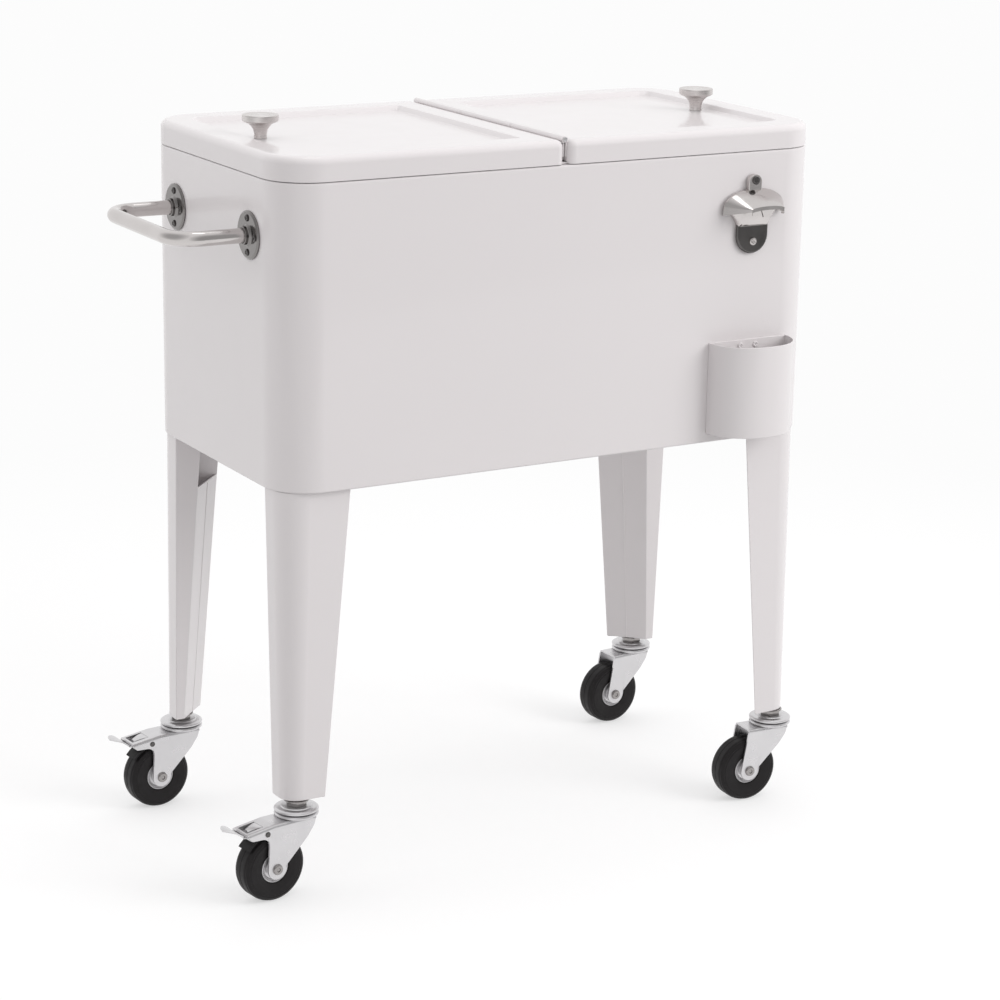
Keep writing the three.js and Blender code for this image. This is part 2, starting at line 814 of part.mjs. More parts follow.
// The leg's plan at a share of its height, from the long face round the corner to the short face,
// then the return and the slanting inner plate. Given for the rear right leg, from the tub's middle.
function legSection(share, z, inset) {
  const mix = (bottom, top) => bottom + (top - bottom) * share;
  const faceX = tubLength / 2 - mix(legBottomInsetX, legTopInsetX) - inset;
  const faceY = tubDepth / 2 - mix(legBottomInsetY, legTopInsetY) - inset;
  const radius = mix(legBottomRadius, legTopRadius) - inset;
  const outerX = faceX + inset;
  const outerY = faceY + inset;
  const longEnd = outerX - mix(legBottomWidth, legTopWidth);
  const shortEnd = outerY - mix(legBottomSide, legTopSide);
  const foldX = outerX - mix(legBottomReturn, legTopReturn);
  const slant = Math.atan2(outerY - shortEnd, foldX - longEnd);
  const ring = [];
  ring.push([longEnd + inset * (1 + Math.cos(slant)) / Math.sin(slant), faceY, z]);
  for (let i = 0; i <= legArcSteps; i += 1) {
    const angle = Math.PI / 2 * (1 - i / legArcSteps);
    ring.push([faceX - radius + radius * Math.cos(angle), faceY - radius + radius * Math.sin(angle), z]);
  }
  ring.push([faceX, Math.min(shortEnd + inset, faceY - radius), z]);
  ring.push([foldX + inset * Math.tan(slant / 2), shortEnd + inset, z]);
  return ring;
}

function legRings(low, high, inset) {
  return [low, high].map((z) => {
    const share = (z - legBottom) / (tubBase - fitGap - legBottom);
    return legSection(share, z, inset);
  });
}

function leg(sideX, sideY) {
  const top = tubBase - fitGap;
  const outer = loft(legRings(legBottom, top, 0));
  const inner = loft(legRings(legBottom + legSheet, top - legSheet, legSheet));
  const section = legSection(1, top, 0);
  const [foldX, foldY] = section[section.length - 1];
  const [endX, endY] = section[0];
  const plateLength = Math.hypot(endX - foldX, endY - foldY);
  const notchHalf = plateLength / 2 - legNotchMargin;
  const notch = block(-notchHalf, notchHalf, -legNotchMargin, cutOver, -legNotchDrop, -legSheet)
    .rotateZ(Math.atan2(endY - foldY, endX - foldX))
    .translate((foldX + endX) / 2, (foldY + endY) / 2, top);
  const stemHole = rod(kingpinRadius + fitGap, legBottom - cutOver, legBottom + cutOver, plainSides)
    .translate(casterX, casterY, 0);
  return sealed(cut(outer, inner, notch, stemHole).scale(sideX, sideY, 1));
}

// The fixed half of a caster: threaded stem with its nut, upper race and the kingpin's lower head.
function casterStem() {
  const headTop = forkTopUnder - swivelGap;
  return turned([
    [0, headTop - kingpinHeadThickness],
    [kingpinHeadRadius, headTop - kingpinHeadThickness],
    [kingpinHeadRadius, headTop],
    [kingpinRadius, headTop],
    [kingpinRadius, raceSplit],
    [raceRadius - raceRoll, raceSplit],
    [raceRadius, raceSplit + raceRoll],
    [raceNeckRadius, raceTop],
    [stemNutRadius, raceTop],
    [stemNutRadius, legBottom - fitGap],
    [kingpinRadius, legBottom - fitGap],
    [kingpinRadius, legBottom + stemRise],
    [0, legBottom + stemRise],
  ], roundSides);
}

// A cheek's outline in X and Z: the top, the rear edge, the round ear at the axle and the slanted front.
function cheekShape(braked) {
  const top = forkTopUnder + forkPlate;
  const shape = new THREE.Shape();
  shape.moveTo(-forkNose, top);
  if (braked) {
    const arch = brakeForkEnd - brakeArchStart - brakeArchRun;
    shape.lineTo(brakeDeckBend, top);
    shape.lineTo(brakeForkEnd, top - brakeDeckDrop);
    shape.lineTo(brakeForkEnd - brakeLipBack, top - brakeLipDrop);
    shape.lineTo(brakeForkEnd - brakeArchStart, top - brakeArchDrop);
    shape.lineTo(arch, top - brakeArchDrop - brakeArchFall);
    shape.quadraticCurveTo(
      casterTrail + brakeShankAhead, top - brakeArchDrop - brakeArchFall,
      casterTrail + brakeShankAhead, top - brakeKneeDrop,
    );
  } else {
    shape.lineTo(plainForkEnd, top);
  }
  shape.lineTo(casterTrail + earRadius, wheelRadius);
  shape.absarc(casterTrail, wheelRadius, earRadius, 0, THREE.MathUtils.degToRad(earStartDegrees), true);
  shape.lineTo(forkShinX, forkShinZ);
  shape.lineTo(forkShoulderX, forkShoulderZ);
  shape.closePath();
  return shape;
}

function lieAlongY(geometry, x, z) {
  return geometry.rotateX(Math.PI / 2).translate(x, 0, z);
}

// The deck from its side. With a brake it bends down towards the pedal.
function deckShape(braked) {
  const shape = new THREE.Shape();
  shape.moveTo(-forkNose, forkTopUnder);
  if (braked) {
    shape.lineTo(brakeDeckBend, forkTopUnder);
    shape.lineTo(brakeForkEnd, forkTopUnder - brakeDeckDrop);
    shape.lineTo(brakeForkEnd, forkTopUnder + forkPlate - brakeDeckDrop);
    shape.lineTo(brakeDeckBend, forkTopUnder + forkPlate);
  } else {
    shape.lineTo(plainForkEnd, forkTopUnder);
    shape.lineTo(plainForkEnd, forkTopUnder + forkPlate);
  }
  shape.lineTo(-forkNose, forkTopUnder + forkPlate);
  shape.closePath();
  return shape;
}

// The turning half of a caster: two cheeks under a top plate, with the lower race on it.
function casterFork(braked) {
  const outside = cheekGap + cheekThickness;
  const cheeks = [-1, 1].map((side) => plateInXZ(cheekShape(braked), side * cheekGap, side * outside, 5));
  const plate = plateInXZ(deckShape(braked), -outside, outside);
  const race = turned([
    [0, forkTopUnder],
    [raceNeckRadius, forkTopUnder],
    [raceRadius, forkTopUnder + forkPlate],
    [raceRadius - raceRoll, raceSplit - swivelGap],
    [0, raceSplit - swivelGap],
  ], roundSides);
  const cutters = [
    rod(kingpinRadius + swivelGap, 0, raceTop, roundSides),
    lieAlongY(
      rod(axleRadius + fitGap, -outside - cutOver, outside + cutOver, smallSides), casterTrail, wheelRadius,
    ),
  ];
  if (braked) {
    const windowEnd = brakeForkEnd - windowMargin;
    cutters.push(
      brakePivotHole(brakePinRadius + fitGap),
      block(windowEnd - windowLength, windowEnd, -windowHalfWidth, windowHalfWidth,
        forkTopUnder - cutOver, forkTopUnder + cutOver),
    );
  }
  return cut(united(...cheeks, plate, race), ...cutters);
}

function casterAxle() {
  const end = cheekGap + cheekThickness + fitGap;
  return lieAlongY(turned([
    [0, -end - axleHeadThickness],
    [axleHeadRadius, -end - axleHeadThickness],
    [axleHeadRadius, -end],
    [axleRadius, -end],
    [axleRadius, end],
    [axleHeadRadius, end],
    [axleHeadRadius - axleHeadChamfer, end + axleHeadThickness],
    [0, end + axleHeadThickness],
  ], studSides), casterTrail, wheelRadius);
}

function casterHub() {
  const bore = axleRadius + axleRunning;
  const rim = tyreBeadRadius - fitGap;
  return lieAlongY(turned([
    [bore, -hubHalfWidth],
    [hubBoss, -hubHalfWidth],
    [hubBoss, -hubWebHalfWidth],
    [rim - hubRimWall, -hubWebHalfWidth],
    [rim, -tyreWidth / 2 + tyreDish],
    [rim, tyreWidth / 2 - tyreDish],
    [rim - hubRimWall, hubWebHalfWidth],
    [hubBoss, hubWebHalfWidth],
    [hubBoss, hubHalfWidth],
    [bore, hubHalfWidth],
    [bore, -hubHalfWidth],
  ], roundSides), casterTrail, wheelRadius);
}

// The tyre has flats: one lies on the floor, so its corners stand out past the rolling radius.
function casterTyre() {
  const tread = wheelRadius / Math.cos(Math.PI / tyreSides);
  const half = tyreWidth / 2;
  const side = [
    [tyreBeadRadius, half - tyreDish],
    [tyreWallRadius, half],
    [tread - tyreDish, half - tyreDish],
    [tread, half - tyreShoulder],
  ];
  const profile = [
    ...side.map(([r, y]) => [r, -y]),
    ...side.reverse(),
  ];
  profile.push(profile[0]);
  const wheel = turned(profile, tyreSides).rotateZ(Math.PI / tyreSides);
  return lieAlongY(wheel, casterTrail, wheelRadius);
}

function bentUp(geometry, from, to, rise) {
  const at = geometry.getAttribute('position');
  for (let i = 0; i < at.count; i += 1) {
    const share = Math.max(0, at.getX(i) - from) / (to - from);
    at.setZ(i, at.getZ(i) + rise * share);
  }
  return geometry;
}

function brakePivotHole(radius) {
  return lieAlongY(rod(radius, -tyreWidth, tyreWidth, smallSides), brakePivotX, brakePivotZ);
}

// The foot pedal: a sleeve on the pin, a tongue that runs out under the fork and turns up at its
// round tip, and a carrier that holds the shoe.
function brakePedal() {
  const top = forkTopUnder - brakeDeckDrop - swivelGap;
  const under = top - pedalThickness;
  const bend = brakeForkEnd + pedalThickness;
  const tipX = pedalReach - pedalHalfWidth;
  const root = block(pedalRoot, bend, -pedalHalfWidth, pedalHalfWidth, under, top);
  const tongue = new THREE.Shape();
  tongue.moveTo(bend, -pedalHalfWidth);
  tongue.lineTo(tipX, -pedalHalfWidth);
  tongue.absarc(tipX, 0, pedalHalfWidth, -Math.PI / 2, Math.PI / 2, false);
  tongue.lineTo(bend, pedalHalfWidth);
  tongue.closePath();
  const flatTongue = new THREE.ExtrudeGeometry(tongue, {
    depth: pedalThickness, bevelEnabled: false, curveSegments: 8,
  }).translate(0, 0, under);
  const web = block(
    brakePivotX - brakeSleeveRadius / 2, brakePivotX + brakeSleeveRadius / 2,
    -pedalHalfWidth, pedalHalfWidth, brakePivotZ, top,
  );
  const sleeve = lieAlongY(
    rod(brakeSleeveRadius, -pedalHalfWidth, pedalHalfWidth, smallSides), brakePivotX, brakePivotZ,
  );
  const carrier = block(
    carrierStart, carrierStart + carrierLength, -carrierHalfWidth, carrierHalfWidth,
    wheelRadius, top,
  );
  const shoeRoom = lieAlongY(
    rod(wheelRadius + shoeStroke + shoeThickness + fitGap, -tyreWidth, tyreWidth, 2 * fineSides),
    casterTrail, wheelRadius,
  );
  const whole = united(
    root, bentUp(flatTongue, bend, pedalReach, pedalTipRise), web, sleeve, cut(carrier, shoeRoom),
  );
  return cut(whole, brakePivotHole(brakePinRadius + fitGap));
}

// The shoe is a slice of a ring round the tyre, which the pedal presses down on the tread.
function brakeShoe() {
  const inner = wheelRadius + shoeStroke;
  const shape = new THREE.Shape();
  const from = THREE.MathUtils.degToRad(shoeStartDegrees);
  const to = THREE.MathUtils.degToRad(shoeEndDegrees);
  shape.absarc(casterTrail, wheelRadius, inner, from, to, false);
  shape.absarc(casterTrail, wheelRadius, inner + shoeThickness, to, from, true);
  shape.closePath();
  return plateInXZ(shape, -shoeHalfWidth, shoeHalfWidth, 6);
}

function brakePin() {
  const end = cheekGap + cheekThickness + fitGap;
  return lieAlongY(turned([
    [0, -end - pinHeadThickness],
    [pinHeadRadius, -end - pinHeadThickness],
    [pinHeadRadius, -end],
    [brakePinRadius, -end],
    [brakePinRadius, end],
    [pinHeadRadius, end],
    [pinHeadRadius, end + pinHeadThickness],
    [0, end + pinHeadThickness],
  ], studSides), brakePivotX, brakePivotZ);
}

function onWall(x, z, radius, height, rise) {
  const wall = -tubDepth / 2 - fitGap;
  const shape = new THREE.Shape().absarc(x, z, radius, 0, 2 * Math.PI, false);
  return plateInXZ(shape, wall - height / 2, wall - height - rise, studSides / 2);
}

// The opener is a plate with a tab above and a round end below, a hood that spreads from the wall to
// a narrow lip with a claw under it, and a rest for the rim of the cap.
function openerBody() {
  const wall = -tubDepth / 2 - fitGap;
  const neck = openerBottom + openerNeckHeight;
  const top = openerBottom + openerHeight;
  const right = openerX + openerPlateHalfWidth;
  const left = openerX - openerPlateHalfWidth;
  const shape = new THREE.Shape();
  shape.moveTo(left, openerBottom + openerPlateHalfWidth);
  shape.absarc(
    openerX, openerBottom + openerPlateHalfWidth, openerPlateHalfWidth, Math.PI, 2 * Math.PI, false,
  );
  shape.lineTo(right, neck);
  shape.lineTo(openerX + openerTabHalfWidth, neck + openerTabHalfWidth);
  shape.absarc(openerX, top - openerTabHalfWidth, openerTabHalfWidth, 0, Math.PI, false);
  shape.lineTo(openerX - openerTabHalfWidth, neck + openerTabHalfWidth);
  shape.lineTo(left, neck);
  shape.closePath();
  const plate = plateInXZ(shape, wall, wall - openerPlateThickness, 6);
  const tab = plateInXZ(
    new THREE.Shape()
      .absarc(openerX, top - openerTabHalfWidth, openerTabHalfWidth, 0, Math.PI, false)
      .lineTo(openerX - openerTabHalfWidth, neck)
      .lineTo(openerX + openerTabHalfWidth, neck),
    wall, wall - openerTabThickness, 6,
  );
  const hood = wallBetween(hoodGrid(0), hoodGrid(hoodWall));
  const screws = [[openerLowerScrew, openerPlateThickness], [openerUpperScrew, openerTabThickness]].map(
    ([height, thickness]) => onWall(
      openerX, openerBottom + height, openerScrewRadius, thickness, openerScrewHeight,
    ),
  );
  return united(plate, tab, hood, capRest(), claw(), ...screws);
}

// The hood starts small on the wall, swells at once to its full arch and runs out to a nearly
// straight lip that turns down. Each section has a foot, a crease and the arch between the creases.
function hoodGrid(inset) {
  const far = hoodReach - inset;
  const rows = [hoodSection(0, 0, hoodBackInset + inset, 0)];
  for (let row = 0; row <= hoodAlongSteps; row += 1) {
    const out = row / hoodAlongSteps;
    rows.push(hoodSection(out, hoodBackReach + (far - hoodBackReach) * out, inset, 0));
  }
  rows.push(hoodSection(1, far, inset, hoodLipFace));
  return rows;
}

function hoodSection(out, reach, inset, drop) {
  const mix = (root, lip) => root + (lip - root) * out;
  const at = (x, height) => [openerX + x, -tubDepth / 2 - fitGap - reach, openerBottom + height - drop];
  const half = mix(hoodRootHalfWidth, hoodLipHalfWidth) - inset;
  const foot = mix(hoodFootHalfWidth, hoodLipHalfWidth) - inset;
  const footHeight = mix(hoodFootHeight, hoodLipHeight - hoodWall);
  const crease = mix(hoodRootHeight, hoodLipHeight);
  const rise = mix(hoodRootRise, hoodLipRise) - inset * (1 - drop / hoodLipFace);
  const arch = Array.from({ length: hoodAcrossSteps + 1 }, (_, column) => {
    const angle = Math.PI * (1 - column / hoodAcrossSteps);
    return at(half * Math.cos(angle), crease + rise * Math.sin(angle));
  });
  return [at(-foot, footHeight), ...arch, at(foot, footHeight)];
}

// The rest is a scoop below the hood, whose wings run out along the wall to the hood's feet.
function capRest() {
  const wall = -tubDepth / 2 - fitGap;
  const level = (bottom, half, wing, reach, wingReach) => [
    [openerX - wing, wall, openerBottom + bottom],
    [openerX - half, wall, openerBottom + bottom],
    [openerX + half, wall, openerBottom + bottom],
    [openerX + wing, wall, openerBottom + bottom],
    [openerX + wing, wall - wingReach, openerBottom + bottom],
    [openerX + half, wall - reach, openerBottom + bottom],
    [openerX - half, wall - reach, openerBottom + bottom],
    [openerX - wing, wall - wingReach, openerBottom + bottom],
  ];
  return loft([
    level(restBottomHeight, restHalfWidth, restFootHalfWidth, 0, 0),
    level(restKneeHeight, restHalfWidth, restKneeHalfWidth, restKneeReach, restWingReach),
    level(restTopHeight, restLipHalfWidth, restTopHalfWidth, restTopReach, restWingReach),
  ]);
}

function claw() {
  const lip = -tubDepth / 2 - fitGap - hoodReach;
  const across = (half, near, height) => [
    [openerX - half, near, openerBottom + height],
    [openerX + half, near, openerBottom + height],
    [openerX + half, near + clawThickness, openerBottom + height],
    [openerX - half, near + clawThickness, openerBottom + height],
  ];
  return loft([
    across(clawTipHalfWidth, lip + clawLean, clawTipHeight),
    across(clawRootHalfWidth, lip, clawRootHeight),
  ]);
}

// A solid bow against the wall: in plan half an oval with full shoulders.
function bow(halfChord, reach, back, low, high) {
  const shape = new THREE.Shape();
  shape.moveTo(-halfChord, 0);
  for (let i = 1; i <= catcherSteps; i += 1) {
    const angle = Math.PI * (1 - i / catcherSteps);
    const across = Math.sign(Math.cos(angle)) * Math.abs(Math.cos(angle)) ** catcherSquareShare;
    shape.lineTo(halfChord * across, -reach * Math.sin(angle) ** catcherSquareShare);
  }
  shape.closePath();
  const body = new THREE.ExtrudeGeometry(shape, { depth: high - low, bevelEnabled: false });
  return sealed(body.translate(catcherX, back, low));
}

// The catcher is a pocket with a bowed front, open at the top, screwed to the tub through its back.
function capCatcher() {
  const wall = -tubDepth / 2 - fitGap;
  const top = catcherBottom + catcherHeight;
  const outer = bow(catcherHalfWidth, catcherReach, wall, catcherBottom, top);
  const inner = bow(
    catcherHalfWidth - catcherSheet, catcherReach - 2 * catcherSheet, wall - catcherSheet,
    catcherBottom + catcherSheet, top + cutOver,
  );
  const screws = [-1, 1].map((side) => onWall(
    catcherX + side * catcherScrewOffset, top - catcherScrewDrop,
    catcherScrewRadius, catcherSheet, catcherScrewHeight,
  ));
  return united(cut(outer, inner), ...screws);
}

const cooler = new THREE.Group();
cooler.add(
  piece('tub_shell', tubShell(), white),
  piece('base_pan', basePan(), white),
  piece('foam_insulation', insulation(), foamCream),
  piece('inner_liner', innerLiner(), linerWhite),
  piece('drain_spout', drainSpout(), drainGrey),
  piece('drain_cap', drainCap(), drainGrey),
  piece('centre_rail', centreRail(), white),
  piece('hinge_pin', hingePin(), brushed),
  piece('handle_bar', handleBar(), polished),
  piece('bottle_opener', openerBody(), polished),
  piece('cap_catcher', capCatcher(), white),
);

const lids = [['left', -1, [0, 2]], ['right', 1, [1]]];
for (const [name, side, knuckles] of lids) {
  cooler.add(
    piece(`lid_${name}_skin`, lidSkin(side), white),
    piece(`lid_${name}_tray`, lidTray(side), linerWhite),
    piece(`lid_${name}_foam`, lidFoam(side), foamCream),
    piece(`lid_${name}_seal`, lidSeal(side), sealGrey),
    piece(`lid_${name}_leaf`, hingeLeaf(side, knuckles), white),
    piece(`lid_${name}_knob`, lidKnob(side), brushed),
  );
}

for (const [name, side] of [['front', -1], ['rear', 1]]) {
  cooler.add(piece(`handle_flange_${name}`, handleFlange(side), polished));
}

// Each corner: its name, its side along X and Y, how far its caster has swung, and whether it brakes.
const corners = [
  ['front_left', -1, -1, 187.5, true],
  ['rear_left', -1, 1, 185, true],
  ['front_right', 1, -1, 176.6, false],
  ['rear_right', 1, 1, 184.8, false],
];
for (const [name, sideX, sideY, swing, braked] of corners) {
  cooler.add(piece(`leg_${name}`, leg(sideX, sideY), white));
  const caster = new THREE.Group();
  caster.position.set(sideX * casterX, sideY * casterY, 0);
  caster.rotation.z = THREE.MathUtils.degToRad(swing);
  caster.add(
    piece(`caster_stem_${name}`, casterStem(), zinc),
    piece(`caster_fork_${name}`, casterFork(braked), zinc),
    piece(`caster_axle_${name}`, casterAxle(), zinc),
    piece(`caster_hub_${name}`, casterHub(), zinc),
    piece(`caster_tyre_${name}`, casterTyre(), tyreBlack),
  );
  if (braked) {
    caster.add(
      piece(`brake_pedal_${name}`, brakePedal(), zinc),
      piece(`brake_shoe_${name}`, brakeShoe(), shoeBlack),
      piece(`brake_pin_${name}`, brakePin(), zinc),
    );
  }
  cooler.add(caster);
}

// The origin is on the floor under the middle of the whole cooler's box.
cooler.updateMatrixWorld(true);
const extent = new THREE.Box3().setFromObject(cooler, true);
const middle = extent.getCenter(new THREE.Vector3());
cooler.position.set(-middle.x, -middle.y, -extent.min.z);

const assembly = new THREE.Group();
assembly.add(cooler);

export default assembly;
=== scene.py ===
"""Rolling patio cooler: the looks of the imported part, laid out as a Blender add-on and run as a script."""

import json

import bmesh
import bpy
import numpy as np
from bpy.props import FloatProperty, FloatVectorProperty, IntProperty, PointerProperty
from bpy.types import Operator, Panel, PropertyGroup
from mathutils import Matrix, Vector


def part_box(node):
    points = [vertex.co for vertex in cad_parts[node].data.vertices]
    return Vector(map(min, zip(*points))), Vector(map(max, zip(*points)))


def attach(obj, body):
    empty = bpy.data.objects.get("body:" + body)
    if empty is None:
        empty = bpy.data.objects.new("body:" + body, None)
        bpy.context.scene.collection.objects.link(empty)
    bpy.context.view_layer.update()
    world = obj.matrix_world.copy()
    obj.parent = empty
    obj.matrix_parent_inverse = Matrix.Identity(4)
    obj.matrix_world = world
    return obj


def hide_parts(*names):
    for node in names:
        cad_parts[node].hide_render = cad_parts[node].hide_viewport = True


bl_info = {
    "name": "Rolling patio cooler",
    "version": (1, 0, 0),
    "blender": (4, 5, 0),
    "location": "View3D > Sidebar > Cooler",
    "description": "Builds a rolling patio cooler round its packed frame",
    "category": "Object",
}

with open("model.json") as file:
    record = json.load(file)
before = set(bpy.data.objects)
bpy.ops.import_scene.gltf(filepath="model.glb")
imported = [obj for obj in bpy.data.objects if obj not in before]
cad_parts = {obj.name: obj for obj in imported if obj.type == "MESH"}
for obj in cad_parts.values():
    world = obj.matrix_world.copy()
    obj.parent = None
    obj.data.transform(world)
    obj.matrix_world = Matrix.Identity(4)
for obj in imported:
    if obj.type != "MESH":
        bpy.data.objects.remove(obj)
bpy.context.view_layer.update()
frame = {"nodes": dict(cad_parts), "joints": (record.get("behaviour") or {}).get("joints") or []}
joints = {joint["name"]: joint for joint in frame["joints"]}
corner_names = ("front_left", "rear_left", "front_right", "rear_right")
tub_low, tub_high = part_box("tub_shell")
tub_middle = (tub_low + tub_high) / 2
tiny = 1e-12  # keeps a division by a length away from zero
merge_distance = 2e-6
shortest_edge = 1e-6
large_face_share = 80  # how far large faces lead the shading of their neighbours
backdrop_white = 0.975
leg_steps = 12  # faces in one fold of a leg
slant_column = 3 * (leg_steps + 1) - 1  # the column of points where a leg's slanted plate begins
slots = {
    "coat": "body_white", "liner": "liner_white", "foam": "foam", "seal": "seal", "drain": "drain_plastic",
    "steel": "polished", "flange": "polished", "plate": "polished", "nut": "zinc", "zinc": "zinc",
    "tyre": "tyre", "shoe": "brake_rubber",
}


def size(name, description, default):
    """A length that the user can change, in metres."""
    return FloatProperty(name=name, description=description, default=default, unit="LENGTH", precision=4)


def tint(name, description, default):
    """A colour that the user can change."""
    return FloatVectorProperty(
        name=name, description=description, default=default, size=3, subtype="COLOR", min=0, max=1
    )


class CoolerSizes(PropertyGroup):
    """Sizes of the pieces that the frame's boxes don't give by themselves."""

    corner_radius: size("Corner radius", "Radius of the tub's upright corners", 0.048)
    edge_radius: size("Edge radius", "Radius of the fold at the tub's rims", 0.0022)
    sheet: size("Sheet", "Thickness of the tub's sheet steel", 0.0012)
    lid_edge: size("Lid edge", "Radius along the lids' upper edges", 0.008)
    lid_end: size("Lid end", "Radius of the lids' corners at the hinge", 0.009)
    panel_inset: size("Panel inset", "Width of the rim round a lid's sunk panel", 0.034)
    panel_slope: size("Panel slope", "Width of the slope down to a lid's panel", 0.005)
    panel_drop: size("Panel drop", "Depth of a lid's panel under its rim", 0.005)
    liner_inset: size("Liner inset", "From the tub's outside to the liner's inside", 0.0265)
    liner_bend: size("Liner bend", "Radius where the liner's walls meet its floor", 0.0075)
    knob_waist: size("Knob waist", "Radius of a knob's neck", 0.0066)
    knob_disc: size("Knob disc", "Thickness of a knob's round head", 0.008)
    bar_radius: size("Bar radius", "Radius of the handle's bar", 0.00775)
    bar_bend: size("Bar bend", "Radius of the handle's two bends", 0.03)
    leg_fold: size("Leg fold", "Radius of the folds in a leg's sheet", 0.0012)
    leg_sheet: size("Leg sheet", "Thickness of a leg's sheet steel", 0.0015)
    wheel_radius: size("Wheel radius", "Radius of a caster's wheel", 0.0368)
    tyre_width: size("Tyre width", "Width of a caster's tyre", 0.0252)
    fork_sheet: size("Fork sheet", "Thickness of a caster fork's sheet", 0.002)
    round_steps: IntProperty(name="Round steps", description="Faces in a quarter turn", default=14, min=4)


class CoolerColours(PropertyGroup):
    """Colours of the finishes."""

    body: tint("Body", "Powder coat of the tub, lids, legs and catcher", (0.80, 0.765, 0.77))
    liner: tint("Liner", "Moulded liner and lid trays", (0.82, 0.82, 0.80))
    foam: tint("Foam", "Insulation", (0.78, 0.70, 0.48))
    seal: tint("Seal", "Soft seals under the lids", (0.25, 0.25, 0.26))
    steel: tint("Steel", "Polished handle and opener", (0.62, 0.59, 0.58))
    zinc: tint("Zinc", "Bright plating of the casters", (0.69, 0.68, 0.69))
    tyre: tint("Tyre", "Tyres and brake shoes", (0.012, 0.0105, 0.011))


class CoolerStage(PropertyGroup):
    """Camera and lights."""

    lens: FloatProperty(name="Lens", description="Focal length in millimetres", default=101.65)
    azimuth: FloatProperty(name="Azimuth", description="Camera's turn to the left of the front", default=30.3)
    elevation: FloatProperty(name="Elevation", description="Camera's rise above level", default=15.68)
    roll: FloatProperty(name="Roll", description="Camera's lean", default=1.04)
    camera_x: size("Camera X", "Camera along X from the tub's middle", -1.52215)
    camera_y: size("Camera Y", "Camera along Y from the tub's middle", -2.64694)
    camera_z: size("Camera Z", "Camera above the floor", 1.21138)
    sky: FloatProperty(name="Sky", description="Strength of the light from all round", default=0.95)


def sizes():
    return bpy.context.scene.cooler_sizes


def colours():
    return bpy.context.scene.cooler_colours


def grid_faces(rows, columns, close_rows, close_columns):
    """Quads between the neighbours of a grid: point (i, j) with (i, j+1), (i+1, j+1) and (i+1, j)."""
    i, j = np.meshgrid(
        np.arange(rows if close_rows else rows - 1),
        np.arange(columns if close_columns else columns - 1),
        indexing="ij",
    )
    down, right = (i + 1) % rows, (j + 1) % columns
    corners = [i * columns + j, i * columns + right, down * columns + right, down * columns + j]
    return np.stack(corners, -1).reshape(-1, 4)


def skin(points, close_rows=False, close_columns=True, cap_start=False, cap_end=False):
    """A grid of points as a shape: its points, and its faces with a flat one over an end row if asked."""
    rows, columns = points.shape[:2]
    faces = grid_faces(rows, columns, close_rows, close_columns).tolist()
    if cap_start:
        faces.append(list(range(columns))[::-1])
    if cap_end:
        faces.append(list(range((rows - 1) * columns, rows * columns)))
    return points.reshape(-1, 3), faces


def solid(points):
    """A grid of points as a shape that is closed at both ends."""
    return skin(points, cap_start=True, cap_end=True)


def shifted(shape, offset):
    """The shape moved by an offset."""
    return shape[0] + np.asarray(offset, float), shape[1]


def turned_by(shape, matrix):
    """The shape's points as rows times the matrix's upper part, plus its shift."""
    m = np.array(matrix, float)
    return shape[0] @ m[:3, :3].T + m[:3, 3], shape[1]


def build_mesh(name, shapes):
    """One mesh from several closed shapes, with doubles merged and every face turned outwards."""
    starts = np.cumsum([0] + [len(points) for points, _ in shapes])
    points = np.concatenate([points for points, _ in shapes])
    faces = [[k + start for k in face] for start, (_, made) in zip(starts, shapes) for face in made]
    mesh = bpy.data.meshes.new(name)
    mesh.from_pydata(points.tolist(), [], faces)
    work = bmesh.new()
    work.from_mesh(mesh)
    bmesh.ops.remove_doubles(work, verts=work.verts, dist=merge_distance)
    bmesh.ops.dissolve_degenerate(work, edges=work.edges, dist=shortest_edge)
    bmesh.ops.recalc_face_normals(work, faces=work.faces)
    work.to_mesh(mesh)
    work.free()
    return mesh


def piece(name, shapes, look, body, replaced=(), slot=None, crease=35.0):
    """A finished object, riding on its body: smooth but for edges sharper than the crease angle. Its look is
    the name of a finish or a material. Where no slot is named, one is looked up by the finish's name, but the
    slot is not used."""
    mesh = build_mesh(name, shapes)
    mesh.shade_smooth()
    mesh.set_sharp_from_angle(angle=np.radians(crease))
    made = bpy.data.objects.new(name, mesh)
    bpy.context.collection.objects.link(made)
    mesh.materials.append(finish(look) if isinstance(look, str) else look)
    weighted = made.modifiers.new("Even shading", "WEIGHTED_NORMAL")
    weighted.keep_sharp = True
    weighted.weight = large_face_share
    slot = slot or slots[look]
    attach(made, body)
    if replaced:
        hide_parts(*replaced)
    return made


def soften(made, width):
    """Rounds a piece's sharp edges off, before its shading is evened."""
    rounded = made.modifiers.new("Soft edges", "BEVEL")
    rounded.width = width
    rounded.segments = 2
    rounded.limit_method = "ANGLE"
    rounded.angle_limit = np.radians(40)
    made.modifiers.move(len(made.modifiers) - 1, 0)


